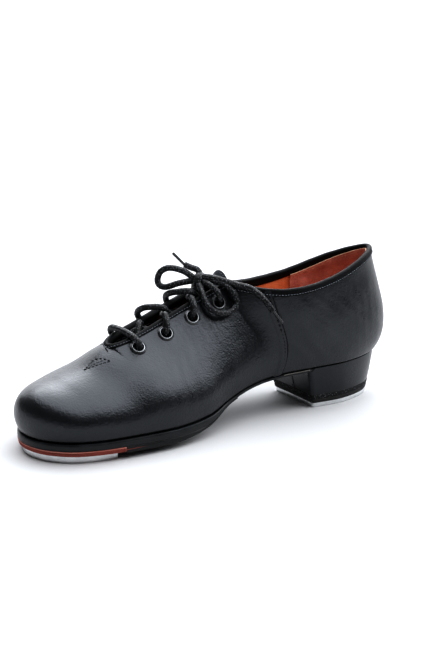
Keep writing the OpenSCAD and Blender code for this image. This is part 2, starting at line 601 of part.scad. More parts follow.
// Straight bores and countersinks for the screws of a tap
module screw_sinks(places) {
    for (p = places) translate([p[0], p[1], -1]) {
        cylinder(d = screw_d + 2 * fit, h = 12, $fn = 24);
        cylinder(d = screw_head_d + 0.3, h = 1.3, $fn = 32);
        translate([0, 0, 1.3]) cylinder(d1 = screw_head_d + 0.3, d2 = screw_d, h = 1.9, $fn = 32);
    }
}
module toe_tap() {
    bevel = 0.8;
    color("#c9ccd0") difference() {
        union() {
            linear_extrude(bevel) tap_plate(bevel);
            translate([0, 0, bevel]) linear_extrude(toe_tap_t - bevel) tap_plate(0);
        }
        screw_sinks(toe_screws);
    }
}
// Countersunk tap screw with a straight slot
module tap_screw(place) {
    color("#9a9da1") translate([place[0], place[1], 0.3]) difference() {
        union() {
            cylinder(d1 = screw_head_d, d2 = screw_d, h = 1.8, $fn = 32);
            cylinder(d = screw_d, h = screw_l - 0.3, $fn = 24);
        }
        translate([-screw_head_d / 2 - 1, -0.4, -1]) cube([screw_head_d + 2, 0.8, 1.7]);
    }
}
module toe_screw_1() tap_screw(toe_screws[0]);
module toe_screw_2() tap_screw(toe_screws[1]);
module toe_screw_3() tap_screw(toe_screws[2]);
module heel_screw_1() tap_screw(heel_screws[0]);
module heel_screw_2() tap_screw(heel_screws[1]);
module heel_screw_3() tap_screw(heel_screws[2]);

// ---- Heel -----------------------------------------------------------------
heel_stations = [9, 9.5, 10, 10.5, 10.9, 11.3, 11.6, 11.8, 12];
heel_top_z = 26;
// Outline point of the heel at a station and height z: it tapers to the ground and the breast and
// the back both lean in
function heel_xy(s, z, inset) =
    let(k = clamp(z / heel_top_z, 0, 1), p = feather(s), q = p + (0.2 - inset) * outward(s),
        x = 4 + (q[0] - 4) * mix(0.84, 1, k), y = mix(68, 62, k) + (q[1] - 64) * mix(0.84, 1.02, k),
        front = abs(s) < 9.01 ? inset * 0.9 : 0)
    [x, y + front];
function heel_rung(s, z0, z1, inset) =
    let(a = heel_xy(s, z0, inset), b = heel_xy(-s, z0, inset),
        c = heel_xy(-s, z1, inset), d = heel_xy(s, z1, inset),
        lc = z1 > 20 ? sole_z(c[1]) - 0.05 : z1, ld = z1 > 20 ? sole_z(d[1]) - 0.05 : z1)
    [[a[0], a[1], z0], [b[0], b[1], z0], [c[0], c[1], lc], [d[0], d[1], ld]];
module heel_layer(z0, z1, inset) {
    ladder([for (s = heel_stations) heel_rung(s, z0, z1, inset)]);
}
heel_board_z = heel_tap_t;
heel_lift_z = heel_board_z + heel_board_t;
heel_block_z = heel_lift_z + heel_lift_t;

module heel_block() {
    color("#7a6a55") difference() {
        heel_layer(heel_block_z + 0.05, heel_top_z, heel_cover_t + 0.1);
        heel_pilots();
        nail_holes();
    }
}
heel_loop = concat(heel_stations, [for (i = [len(heel_stations) - 2:-1:0]) -heel_stations[i]]);
module heel_cover() {
    color("#1f2225") band([for (s = heel_loop)
        let(z = heel_block_z + 0.05, a = heel_xy(s, z, 0), b = heel_xy(s, heel_top_z, 0),
            c = heel_xy(s, heel_top_z, heel_cover_t), d = heel_xy(s, z, heel_cover_t))
        [[a[0], a[1], z], [b[0], b[1], sole_z(b[1]) - 0.05], [c[0], c[1], sole_z(c[1]) - 0.05],
            [d[0], d[1], z]]]);
}
module heel_lift() {
    color("#191b1d") difference() {
        heel_layer(heel_lift_z, heel_block_z, 0);
        heel_pilots();
    }
}
module heel_sound_board() {
    color("#2a2422") difference() {
        heel_layer(heel_board_z, heel_lift_z - 0.05, 0);
        heel_pilots();
    }
}
module heel_tap() {
    bevel = 0.7;
    function outline(inset) = [for (s = heel_loop) heel_xy(s, 0, inset)];
    color("#c9ccd0") difference() {
        union() {
            linear_extrude(bevel) polygon(outline(bevel));
            translate([0, 0, bevel]) linear_extrude(heel_tap_t - bevel - 0.05) polygon(outline(0));
        }
        screw_sinks(heel_screws);
    }
}
module heel_nails() {
    color("silver") for (p = nails) translate([p[0], p[1], nail_top - nail_l]) cylinder(d = nail_d, h = nail_l, $fn = 16);
}

vamp();
quarter_medial();
quarter_lateral();
vamp_lining();
quarter_lining_medial();
quarter_lining_lateral();
heel_grip();
toe_puff();
heel_counter();
eyelet_stay_medial();
eyelet_stay_lateral();
edge_binding();
eyelets_medial();
eyelets_lateral();
tongue();
tongue_lining();
lace_threaded();
lace_knot();
lace_bow();
lace_tips();
insole_board();
sock_lining();
shank();
bottom_filler();
outsole();
half_sole();
toe_sound_board();
toe_tap();
toe_screw_1();
toe_screw_2();
toe_screw_3();
heel_block();
heel_cover();
heel_lift();
heel_sound_board();
heel_nails();
heel_tap();
heel_screw_1();
heel_screw_2();
heel_screw_3();
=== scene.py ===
"""Tap shoe, right foot: visible pieces, materials, light and camera, built round the CAD frame.

Shapes are worked out in millimetres in the CAD's frame and turned into metres in Shape.piece.
Station s runs round the shoe: 0 at the toe, 12 at the heel, positive on the inner (+X) side and
negative on the outer side. Height h runs up the wall, 0 at the feather line and 1 at the top edge.
"""
import math

import bmesh
import bpy
import numpy as np
from mathutils import Matrix, Vector
from mathutils.geometry import tessellate_polygon


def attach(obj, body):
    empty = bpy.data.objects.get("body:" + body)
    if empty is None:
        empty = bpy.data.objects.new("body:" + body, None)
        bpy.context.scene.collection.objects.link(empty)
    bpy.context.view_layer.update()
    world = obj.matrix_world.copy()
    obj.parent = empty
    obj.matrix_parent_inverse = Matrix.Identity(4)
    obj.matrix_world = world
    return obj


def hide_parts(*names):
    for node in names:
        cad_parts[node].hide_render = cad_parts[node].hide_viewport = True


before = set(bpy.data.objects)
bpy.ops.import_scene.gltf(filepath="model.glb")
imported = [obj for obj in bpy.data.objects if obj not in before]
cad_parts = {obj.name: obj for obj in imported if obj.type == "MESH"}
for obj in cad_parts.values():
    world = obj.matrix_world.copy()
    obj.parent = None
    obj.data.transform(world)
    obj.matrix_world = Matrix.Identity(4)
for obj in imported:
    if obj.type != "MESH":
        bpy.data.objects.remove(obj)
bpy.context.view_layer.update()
MM = 0.001
scene = bpy.context.scene

# ---- Camera
VIEW_AZIMUTH = math.radians(57)
VIEW_ELEVATION = math.radians(16)
VIEW_TURN = math.radians(0.558)
VIEW_DISTANCE = 1.3
VIEW_POINT = Vector((-0.0575, 0.0335, 0.04))
LENS = 107.34
SENSOR = 36


def make_camera():
    flat = math.cos(VIEW_ELEVATION)
    back = Vector((math.sin(VIEW_AZIMUTH) * flat, -math.cos(VIEW_AZIMUTH) * flat, math.sin(VIEW_ELEVATION)))
    right = Vector((math.cos(VIEW_AZIMUTH), math.sin(VIEW_AZIMUTH), 0))
    up = back.cross(right)
    side = right * math.cos(VIEW_TURN) + back * math.sin(VIEW_TURN)
    away = back * math.cos(VIEW_TURN) - right * math.sin(VIEW_TURN)
    data = bpy.data.cameras.new("camera")
    data.lens = LENS
    data.sensor_width = SENSOR
    camera = bpy.data.objects.new("camera", data)
    turn = Matrix((side, up, away)).transposed().to_4x4()
    camera.matrix_world = Matrix.Translation(VIEW_POINT + back * VIEW_DISTANCE) @ turn
    scene.collection.objects.link(camera)
    scene.camera = camera


make_camera()


# ---- Vectors and curves
def vec(*values):
    return np.array(values, float)


def floats(*values):
    """The values as arrays of one shape."""
    return np.broadcast_arrays(*[np.asarray(value, float) for value in values])


def grid(rows, columns):
    return np.meshgrid(rows, columns, indexing="ij")


def dot(a, b):
    return (a * b).sum(-1, keepdims=True)


def unit(v):
    return v / np.maximum(np.linalg.norm(v, axis=-1, keepdims=True), 1e-9)


def mix(a, b, w):
    return a * (1 - w) + b * w


def smooth(w):
    c = np.clip(w, 0, 1)
    return c * c * (3 - 2 * c)


def curve(points, v):
    """Points at parameters v (0 to len - 1) of a smooth curve through the points."""
    p = np.asarray(points, float)
    n = len(p) - 1
    slope = np.gradient(p, axis=0)
    v = np.asarray(v, float)
    i = np.clip(np.floor(v), 0, n - 1).astype(int)
    w = v - i
    if p.ndim > 1:
        w = w[..., None]
    return ((2 * w**3 - 3 * w**2 + 1) * p[i] + (w**3 - 2 * w**2 + w) * slope[i]
            + (3 * w**2 - 2 * w**3) * p[i + 1] + (w**3 - w**2) * slope[i + 1])


def even_loop(line):
    """A closed flat outline at 240 even steps."""
    path = np.c_[line, 0 * line[:, :1]]
    return along_path(path, np.linspace(0, 1, 241)[:-1] * run_of(line)[-1])[:, :2]


def run_of(path):
    """Distance along a path at each of its points."""
    steps = np.linalg.norm(np.diff(path, axis=0), axis=1)
    return np.concatenate([[0], np.cumsum(steps)])


def along_path(path, distance, *others):
    """Points at distances along a path, and the same places on arrays that run beside it."""
    run = run_of(path)
    found = [np.stack([np.interp(distance, run, a[:, k]) for k in range(3)], -1) for a in (path, *others)]
    return found[0] if len(found) == 1 else found


def evenly(points, step, per_span=30):
    """The smooth curve through the points, at even steps."""
    path = curve(points, np.linspace(0, len(points) - 1, (len(points) - 1) * per_span + 1))
    length = run_of(path)[-1]
    return along_path(path, np.linspace(0, length, max(int(length / step), 4)))


# ---- Form of the shoe, as in the CAD
LEATHER = 1.2
LINING_IN = 2.25
LINING_BACK = 3.05
LINING_FOOT = 1.55
OUTSOLE = 4.5
WAIST = 1.8
SKIVE_START = -28
SKIVE_RUN = 30
HALF_SOLE = 4
SEAT_GAP = 0.25
MARGIN = 10
SLOT_HALF = 8.6
SLOT_FLARE = 0.6
THROAT_SHARE = 0.2
THROAT_S = 5
CORNER_S = 8
SEAM_S = 8.75
SEAM_LEAN = 0.5
LAST_S = 12

# Plan of the feather line at stations 0 to 12, for each side.
FEATHER_MEDIAL = [[4.5, -131], [20.5, -127], [33.5, -115], [40.5, -97], [43, -74], [43.2, -48], [38.4, -22],
                  [30.6, 3], [26.8, 32], [28.5, 64], [29.5, 93], [21, 117.5], [5.5, 129]]
FEATHER_LATERAL = [[4.5, -131], [-10.5, -127], [-24.5, -116], [-35.5, -98], [-42.5, -74], [-42.5, -47],
                   [-37.5, -19], [-31.5, 7], [-26.5, 35], [-23.5, 65], [-20.5, 93], [-12.5, 119], [5.5, 129]]
FEATHER_LOOP = [FEATHER_MEDIAL[11]] + FEATHER_LATERAL[:0:-1] + FEATHER_MEDIAL + [FEATHER_LATERAL[11]]
LOOP_TOE = 13
# Top edge: the ridge at stations 0 to 8, then the collar from the inner corner round the heel.
RIDGE = [[5.5, -113, 42], [5.5, -113, 42], [5.5, -113, 42], [5.5, -106, 43.5], [5.5, -91, 48.5], [4, -73, 60],
         [1, -47, 68], [-1, -19, 77.5], [-1, 9, 87]]
COLLAR = [[8.2, 9, 87], [29.5, 42, 83], [29.5, 77, 85.5], [21.5, 109, 93.5], [4.5, 126, 96.5],
          [-13.5, 109, 90], [-23.5, 77, 80], [-21.5, 42, 78.5], [-10.2, 9, 86]]
# Height of the outsole's underside, every SOLE_STEP along Y.
SOLE_START = -140
SOLE_STEP = 20
SOLE_LINE = [8, 8, 8, 8, 8, 8, 10, 17.8, 22.9, 25.1, 25.8, 26.1, 26.6, 27.1, 27.6]
# Wall at stations 0 to 12: lean at its foot, reach of the curve's two handles, slope at the top.
LEAN = [0.52, 0.5, 0.48, 0.42, 0.32, 0.28, 0.26, 0.22, 0.22, 0.28, 0.36, 0.56, 0.7]
LOW_REACH = [0.49, 0.48, 0.46, 0.42, 0.38, 0.36, 0.36, 0.36, 0.36, 0.36, 0.34, 0.34, 0.34]
TOP_REACH = [0.55, 0.55, 0.52, 0.48, 0.44, 0.4, 0.36, 0.34, 0.34, 0.34, 0.34, 0.34, 0.34]
TOP_SLOPE = [0, 0, 0, 0, -2, -16, -34, -46, -62, -76, -80, -82, -82]


def feather_xy(s):
    """Plan of the feather line, where the wall meets the foot."""
    return curve(FEATHER_LOOP, np.clip(s, -LAST_S, LAST_S) + LOOP_TOE)


def outward(s):
    """Outward horizontal direction at the feather line."""
    e = 0.02
    d = feather_xy(np.minimum(s + e, LAST_S)) - feather_xy(np.maximum(s - e, -LAST_S))
    n = unit(np.stack([d[..., 1], -d[..., 0], 0 * d[..., 0]], -1))
    return np.where((np.abs(s) > LAST_S - 0.01)[..., None], vec(0, 1, 0), n)


def sole_z(y):
    """Height of the underside of the outsole."""
    return curve(SOLE_LINE, (y - SOLE_START) / SOLE_STEP)


def sole_t(y):
    """Thickness of the outsole, skived from the ball to the waist."""
    return mix(OUTSOLE, WAIST, smooth((y - SKIVE_START) / SKIVE_RUN))


def seat_z(y):
    return sole_z(y) + sole_t(y) + SEAT_GAP


def feather(s):
    """Point of the feather line at station s."""
    p = feather_xy(s)
    return np.concatenate([p, seat_z(p[..., 1:])], -1)


def slot_share(a):
    """Share of the way from the throat to the top corner of the lace opening."""
    return np.clip((a - THROAT_S) / (CORNER_S - THROAT_S), 0, 1)


def slot_w(a):
    """Half width of the lace opening."""
    u = slot_share(a)
    v = 1 - np.minimum(u / THROAT_SHARE, 1)
    return SLOT_HALF * np.sqrt(1 - v * v) + SLOT_FLARE * u


def slot_shift(s):
    """The wall below the edge follows the same width spread over a longer run."""
    a = np.abs(s)
    soft = SLOT_HALF * smooth((a - 4) / 2.2) + SLOT_FLARE * slot_share(a)
    shift = np.where(a > CORNER_S, 0, np.where(s < 0, -1, 1) * (soft - slot_w(a)))
    return shift[..., None] * vec(1, 0, 0)


def edge(s):
    """Top edge: the ridge over the toe, then the lace opening, then the collar."""
    a = np.abs(s)
    front = curve(RIDGE, np.minimum(a, CORNER_S))
    front = front + np.stack([np.sign(s) * slot_w(a), 0 * a, np.where(s < 0, -slot_share(a), 0)], -1)
    back = curve(COLLAR, np.clip(np.where(s > 0, a - CORNER_S, 2 * CORNER_S - a), 0, 8))
    return np.where((a <= CORNER_S)[..., None], front, back)


def skin(s, h):
    """Outer surface of the upper."""
    s, h = floats(s, h)
    a = np.abs(s)
    f, n = feather(s), outward(s)
    shift = slot_shift(s)
    t = edge(s) + shift
    reach = np.linalg.norm(t - f, axis=-1, keepdims=True)
    b = curve(LEAN, a)[..., None]
    flat = (f - t) * vec(1, 1, 0)
    across = np.stack([np.where(s < 0, -1.0, 1.0), 0 * a, 0 * a], -1)
    over = smooth((a - 1.8) / 1.6) * (1 - smooth((a - 4.6) / 1.4))
    o = mix(unit(flat), across, over[..., None])
    o = unit(mix(o, n, np.clip((a - 7) / 2, 0, 1)[..., None]))
    slope = np.radians(curve(TOP_SLOPE, a))[..., None]
    z = vec(0, 0, 1)
    p1 = f + reach * curve(LOW_REACH, a)[..., None] * (n * b + z * np.sqrt(1 - b * b))
    p2 = t + reach * curve(TOP_REACH, a)[..., None] * (o * np.cos(slope) + z * np.sin(slope))
    k = h[..., None]
    g = 1 - k
    last = t - shift * smooth((k - 0.75) / 0.25)
    return g**3 * f + 3 * g * g * k * p1 + 3 * g * k * k * p2 + k**3 * last


def wall_normal(s, h):
    """Outward direction of the wall; level across the ridge over the toe."""
    s, h = floats(s, h)
    e = 0.01
    hh = np.clip(h, 0.02, 0.97)
    ds = skin(np.minimum(s + e, LAST_S), hh) - skin(np.maximum(s - e, -LAST_S), hh)
    dh = skin(s, hh + e) - skin(s, hh - e)
    n = unit(np.cross(ds, dh))
    v = np.clip(np.abs(s), 3, THROAT_S)
    d = curve(RIDGE, v + 0.02) - curve(RIDGE, v - 0.02)
    ridge = unit(np.stack([0 * v, -d[..., 2], d[..., 1]], -1))
    return np.where(((h > 0.999) & (np.abs(s) <= THROAT_S))[..., None], ridge, n)


def wall(s, h, depth):
    """Point at a depth inside the outer surface."""
    s, h, depth = floats(s, h, depth)
    return skin(s, h) - depth[..., None] * wall_normal(s, h)


def seam(h):
    """Station of the side seam, which leans forward towards the foot."""
    return SEAM_S - SEAM_LEAN * (1 - h) ** 2


def vamp_s(s, h):
    """Stations of the vamp, stretched so that it ends at the seam."""
    return s * seam(np.clip(h, 0, 1)) / SEAM_S


def quarter_s(w, h):
    """Station of the quarter at a share w of the way from the seam to the heel."""
    return mix(seam(np.clip(h, 0, 1)) + 0.02, LAST_S, w)


def lining_h(s):
    """Height where the lining starts, just over the insole board."""
    reach = np.linalg.norm(edge(s) - feather(s), axis=-1) * curve(LOW_REACH, np.abs(s))
    return LINING_FOOT / (reach * np.sqrt(1 - curve(LEAN, np.abs(s)) ** 2))


# ---- Solids
def face_outward(mesh, weld=False):
    """Turns every face outward; weld first joins points that lie together."""
    build = bmesh.new()
    build.from_mesh(mesh)
    if weld:
        bmesh.ops.remove_doubles(build, verts=build.verts, dist=1e-6)
    bmesh.ops.recalc_face_normals(build, faces=build.faces)
    build.to_mesh(mesh)
    build.free()


class Shape:
    """Points in millimetres and faces, gathered from several solids into one piece."""

    def __init__(self):
        self.points = []
        self.faces = []
        self.paint = []
        self.count = 0

    def add(self, points, faces, paint=0):
        base = self.count
        self.points.append(np.asarray(points, float).reshape(-1, 3))
        self.count += len(self.points[-1])
        self.faces += [[base + i for i in f] for f in faces]
        self.paint += [paint] * len(faces)

    def sheet(self, outer, inner, keep=None, paint=0, rim=None):
        """Closed sheet between two grids of points. Cells where keep is False are left open; paint is
        one number or a number for each cell, and rim paints the edges."""
        flat = outer.reshape(-1, 3)
        _, first, index = np.unique(np.round(flat, 3), axis=0, return_index=True, return_inverse=True)
        g = index.reshape(outer.shape[:2])
        cells = np.stack([g[:-1, :-1], g[1:, :-1], g[1:, 1:], g[:-1, 1:]], -1)
        keep = np.ones(cells.shape[:2], bool) if keep is None else keep
        shades = np.broadcast_to(paint, keep.shape)[keep].tolist()
        pairs = [(list(dict.fromkeys(c)), shade) for c, shade in zip(cells[keep].tolist(), shades)]
        pairs = [pair for pair in pairs if len(pair[0]) > 2]
        front = [c for c, _ in pairs]
        n = len(first)
        sides = {(a, b) for c in front for a, b in zip(c, c[1:] + c[:1])}
        points = np.concatenate([flat[first], inner.reshape(-1, 3)[first]])
        self.add(points, front + [[i + n for i in reversed(c)] for c in front])
        self.paint[-2 * len(front):] = [shade for _, shade in pairs] * 2
        base = self.count - 2 * n
        edges = [(a, b) for a, b in sides if (b, a) not in sides]
        self.faces += [[base + b, base + a, base + a + n, base + b + n] for a, b in sorted(edges)]
        self.paint += [pairs[0][1] if rim is None else rim] * len(edges)

    def rings(self, rings, closed=True, paint=0, caps=True):
        """Skin over closed rings of points; caps closes its two ends."""
        rings = np.asarray(rings, float)
        r, c = rings.shape[:2]
        g = np.arange(r * c).reshape(r, c)
        g = np.concatenate([g, g[:, :1]], 1)
        if not closed:
            g = np.concatenate([g, g[:1]], 0)
        cells = np.stack([g[:-1, :-1], g[1:, :-1], g[1:, 1:], g[:-1, 1:]], -1).reshape(-1, 4).tolist()
        if closed and caps:
            cells += [list(range(c)), list(range((r - 1) * c, r * c))[::-1]]
        self.add(rings, cells, paint)

    def tube(self, path, radius, sides=16, paint=0):
        """Round tube along a path; radius may vary with the point and the side."""
        path = np.asarray(path, float)
        along = unit(np.gradient(path, axis=0))
        v = unit(np.cross(along[0], vec(0, 0, 1) if abs(along[0][2]) < 0.8 else vec(1, 0, 0)))
        us = []
        for t in along:
            v = unit(v - t * (v @ t))
            us.append(v)
        u = np.array(us)[:, None]
        w = np.cross(along[:, None], u)
        turn = (np.arange(sides) * 2 * np.pi / sides)[None, :, None]
        size = np.broadcast_to(np.asarray(radius, float), (len(path), sides))[..., None]
        self.rings(path[:, None] + size * (u * np.cos(turn) + w * np.sin(turn)), paint=paint)

    def piece(self, name, slot, surfaces, stands_for, body="shoe", sharp=38):
        """Blender object of the points and faces, on its body and in place of the CAD nodes."""
        mesh = bpy.data.meshes.new(name)
        mesh.from_pydata((np.concatenate(self.points) * MM).tolist(), [], self.faces)
        for surface in surfaces:
            mesh.materials.append(surface)
        mesh.polygons.foreach_set("material_index", self.paint)
        face_outward(mesh)
        mesh.polygons.foreach_set("use_smooth", [True] * len(mesh.polygons))
        mesh.set_sharp_from_angle(angle=math.radians(sharp))
        obj = bpy.data.objects.new(name, mesh)
        scene.collection.objects.link(obj)
        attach(obj, body)
        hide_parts(*stands_for)
        return obj


STITCH_SINK = 0.35
STITCH_SHAPE = vec(0.5, 0.92, 1, 1, 0.92, 0.5)


def stitch_row(shape, path, normals, pitch, radius, paint, fill=0.62):
    """Stitches along a path on a surface: short rounded threads that dip at both ends."""
    length = run_of(path)[-1]
    count = max(int(length / pitch), 1)
    step = length / count
    u = np.linspace(0, 1, len(STITCH_SHAPE))
    rise = (radius * (np.sin(np.pi * u) - STITCH_SINK))[:, None]
    for k in range(count):
        here = (k + 0.5 + fill * (u - 0.5)) * step
        p, n = along_path(path, here, normals)
        shape.tube(p + unit(n) * rise, radius * STITCH_SHAPE[:, None], 8, paint)


def on_wall(s, h, depth, steps=400):
    """Dense path on the wall with its normals, through given stations and heights."""
    v = np.linspace(0, len(s) - 1, steps)
    ss, hh = curve(s, v), curve(h, v)
    return wall(ss, hh, depth), wall_normal(ss, hh)


# ---- Materials
def tone(code):
    """Linear colour of a hex code."""
    parts = [int(code[i:i + 2], 16) / 255 for i in (0, 2, 4)]
    return (*[p / 12.92 if p <= 0.04045 else ((p + 0.055) / 1.055) ** 2.4 for p in parts], 1)


class Surface:
    """Procedural material; its textures lie in the piece's own space, in metres."""

    def __init__(self, name, rough, **sockets):
        self.material = bpy.data.materials.new(name)
        self.material.use_nodes = True
        self.tree = self.material.node_tree
        self.shader = self.tree.nodes["Principled BSDF"]
        self.place = self.node("ShaderNodeTexCoord").outputs["Object"]
        for key, value in dict(sockets, Roughness=rough).items():
            self.shader.inputs[key.replace("_", " ")].default_value = value

    def node(self, kind, inputs=(), **settings):
        made = self.tree.nodes.new(kind)
        for key, value in settings.items():
            setattr(made, key, value)
        for key, value in dict(inputs).items():
            if isinstance(value, bpy.types.NodeSocket):
                self.tree.links.new(value, made.inputs[key])
            else:
                made.inputs[key].default_value = value
        return made

    def stretched(self, x, y, z):
        return self.node("ShaderNodeMapping", {"Vector": self.place, "Scale": (x, y, z)}).outputs[0]

    def noise(self, scale, detail=3, rough=0.5, place=None):
        inputs = {"Vector": place or self.place, "Scale": scale, "Detail": detail, "Roughness": rough}
        return self.node("ShaderNodeTexNoise", inputs).outputs["Fac"]

    def dots(self, scale, small, wide):
        """1 inside round dots, falling to 0 between the sizes small and wide."""
        inputs = {"Vector": self.place, "Scale": scale}
        cells = self.node("ShaderNodeTexVoronoi", inputs, feature="F1").outputs["Distance"]
        return self.span(cells, small, wide, 1.0, 0.0)

    def span(self, value, low, high, to_low=0.0, to_high=1.0):
        inputs = {"Value": value, "From Min": low, "From Max": high, "To Min": to_low, "To Max": to_high}
        return self.node("ShaderNodeMapRange", inputs).outputs[0]

    def math(self, operation, a, b):
        return self.node("ShaderNodeMath", {0: a, 1: b}, operation=operation).outputs[0]

    def add(self, a, b):
        return self.math("ADD", a, b)

    def times(self, a, b):
        return self.math("MULTIPLY", a, b)

    def blend(self, share, a, b):
        inputs = {0: share, 6: a, 7: b}
        return self.node("ShaderNodeMix", inputs, data_type="RGBA").outputs[2]

    def colour(self, share, a, b):
        """Base colour that goes from a to b with the share."""
        self.tree.links.new(self.blend(share, a, b), self.shader.inputs["Base Color"])

    def shades(self, value, low, high, dark, light):
        """Base colour that goes from dark to light as the value goes from low to high."""
        self.colour(self.span(value, low, high), tone(dark), tone(light))

    def rough(self, value, low, high, to_low, to_high):
        self.tree.links.new(self.span(value, low, high, to_low, to_high), self.shader.inputs["Roughness"])

    def bump(self, height, strength, distance, under=None):
        inputs = {"Height": height, "Strength": strength, "Distance": distance * MM}
        if under is not None:
            inputs["Normal"] = under
        normal = self.node("ShaderNodeBump", inputs).outputs[0]
        self.tree.links.new(normal, self.shader.inputs["Normal"])
        return normal


def leather(name, dark, light, rough, grain=1300, depth=0.12, **sockets):
    """Grained leather: pebbles with fine creases between them, and slow changes of tone."""
    m = Surface(name, rough, **sockets)
    pebble = m.noise(grain, 2, 0.45)
    hollow = m.noise(grain * 0.4, 2, 0.5)
    slow = m.noise(45, 4, 0.6)
    m.shades(slow, 0.35, 0.7, dark, light)
    m.rough(m.noise(120, 3), 0.3, 0.7, rough - 0.03, rough + 0.05)
    soft = m.bump(m.noise(160, 3, 0.5), 0.3, depth * 2)
    m.bump(m.add(pebble, m.times(hollow, 0.8)), 1, depth, soft)
    return m.material


def suede(name, dark, light):
    """Suede: a fine raised nap."""
    m = Surface(name, 0.92, Sheen_Weight=0.35, Sheen_Roughness=0.45, Sheen_Tint=tone("d8a08c"))
    nap = m.noise(900, 4, 0.75)
    m.shades(m.add(m.times(nap, 0.5), m.noise(70, 3)), 0.55, 0.95, dark, light)
    m.bump(nap, 0.8, 0.25)
    return m.material


def thread(name, dark, light):
    """Twisted thread: fine bands along each stitch."""
    m = Surface(name, 0.6, Specular_IOR_Level=0.25)
    twist = m.node("ShaderNodeTexWave", {"Vector": m.place, "Scale": 900, "Distortion": 1.5}).outputs["Fac"]
    m.colour(twist, tone(dark), tone(light))
    m.bump(twist, 0.5, 0.08)
    return m.material


def metal(name, colour, rough):
    """Metal with fine rubbing marks and a little dulling."""
    m = Surface(name, rough, Metallic=1.0)
    dull = m.noise(120, 5, 0.65)
    marks = m.noise(700, 3, 0.6, m.stretched(0.25, 0.25, 3))
    m.shades(dull, 0.5, 0.95, colour, "b8babc")
    m.rough(m.add(dull, marks), 0.7, 1.3, rough - 0.03, rough + 0.07)
    m.bump(marks, 0.2, 0.05)
    return m.material


def board(name, dark, light, fleck):
    """Pressed board: level plies, fibres and a few flecks."""
    m = Surface(name, 0.8)
    ply = m.noise(220, 3, 0.6, m.stretched(0.12, 0.12, 6))
    fibre = m.noise(1400, 3, 0.7)
    base = m.blend(m.span(m.add(ply, m.times(fibre, 0.4)), 0.5, 0.95), tone(dark), tone(light))
    m.colour(m.times(m.dots(900, 0.12, 0.2), 0.7), base, tone(fleck))
    m.bump(m.add(ply, fibre), 0.5, 0.15)
    return m.material


def dyed_edge(name, dark, light, rough):
    """Cut and burnished leather edge: level streaks, small knocks and a waxed finish."""
    m = Surface(name, rough, Specular_IOR_Level=0.3)
    streak = m.noise(260, 4, 0.6, m.stretched(0.15, 0.15, 5))
    knock = m.noise(90, 5, 0.7)
    m.shades(m.add(streak, knock), 0.8, 1.25, dark, light)
    m.rough(knock, 0.3, 0.7, rough - 0.08, rough + 0.12)
    m.bump(m.add(streak, knock), 0.5, 0.12)
    return m.material


def enamel(name):
    """Baked black enamel, a little chipped and cloudy."""
    m = Surface(name, 0.3, Coat_Weight=0.4, Coat_Roughness=0.2)
    cloud = m.noise(400, 4, 0.6)
    m.shades(cloud, 0.4, 0.8, "0a0b0c", "25282b")
    m.rough(cloud, 0.3, 0.7, 0.22, 0.42)
    m.bump(cloud, 0.2, 0.05)
    return m.material


def speckled_rubber(name):
    """Black rubber with pale specks in patches."""
    m = Surface(name, 0.75, Specular_IOR_Level=0.3)
    patches = m.math("GREATER_THAN", m.noise(500, 2), 0.52)
    m.colour(m.times(m.dots(1500, 0.18, 0.26), patches), tone("08090a"), tone("a4a8ab"))
    m.bump(m.noise(1200, 3, 0.7), 0.5, 0.12)
    return m.material


def woven(name, dark, light, rough):
    """Waxed braid: the strands are in the shape, the fibres are here."""
    m = Surface(name, rough, Specular_IOR_Level=0.3)
    fibre = m.noise(2600, 3, 0.7)
    m.colour(m.times(m.dots(850, 0.1, 0.4), fibre), tone(dark), tone(light))
    m.bump(fibre, 0.5, 0.08)
    return m.material


COOL = (0.88, 0.93, 1, 1)
BLACK_LEATHER = leather("black_leather", "040507", "08090c", 0.3, 1000, 0.15, Specular_IOR_Level=0.52,
                        Specular_Tint=COOL)
# The tongue is black leather painted mid grey: a painted highlight.
TONGUE_HIGHLIGHT_GREY = leather("tongue_leather", "34373b", "4c5056", 0.42, 1100)
BINDING_LEATHER = leather("binding_leather", "040506", "07080a", 0.5, 1500, 0.12, Specular_IOR_Level=0.1)
ORANGE_LEATHER = leather("orange_leather", "c4683c", "e89060", 0.5, 1500, 0.08)
TAN_LEATHER = leather("tan_leather", "a9773f", "c8935a", 0.55, 1300, 0.08)
RAW_EDGE = board("raw_edge", "b98a6a", "dcb898", "8a5a40")
# Pale strip for the outsole's edge at the waist: partly a worn edge, partly a painted highlight where the
# edge catches light.
WORN_EDGE_AND_HIGHLIGHT = board("worn_edge_and_highlight", "54514c", "7c7973", "3c3a37")
BROWN_SUEDE = suede("brown_suede", "a85c4e", "d88a78")
THREAD = thread("black_thread", "040405", "141619")
PALE_THREAD = thread("pale_thread", "3c4148", "8b919a")
TAN_THREAD = thread("tan_thread", "8a5138", "c98f6a")
# One metal eyelet ring in two colours: black enamel as painted shade on the flange's slopes, silver as a
# painted highlight on its crest.
EYELET_PAINTED_SHADE = enamel("eyelet_painted_shade")
EYELET_PAINTED_HIGHLIGHT = metal("eyelet_painted_highlight", "96999c", 0.36)
LACE = woven("lace", "050607", "8c9197", 0.45)
LACE_TIP = enamel("lace_tip")
OUTSOLE_EDGE = dyed_edge("outsole_edge", "0b0d0f", "1b1f22", 0.36)
BLACK_EDGE = dyed_edge("black_edge", "050606", "101214", 0.4)
RED_FIBRE = board("red_fibre", "6a2a20", "9c4a3c", "3c1510")
RED_FIBRE_TOP = board("red_fibre_top", "9a5244", "c4887a", "6a2a20")
DARK_FIBRE = board("dark_fibre", "0a0909", "1c1a19", "56524e")
TAP_METAL = metal("tap_metal", "dfe1e2", 0.38)
SCREW_STEEL = metal("screw_steel", "9da0a4", 0.33)
HEEL_LEATHER = leather("heel_leather", "08090b", "101215", 0.3, 1500, 0.08, Specular_IOR_Level=0.4,
                       Specular_Tint=COOL)
LIFT_RUBBER = speckled_rubber("lift_rubber")

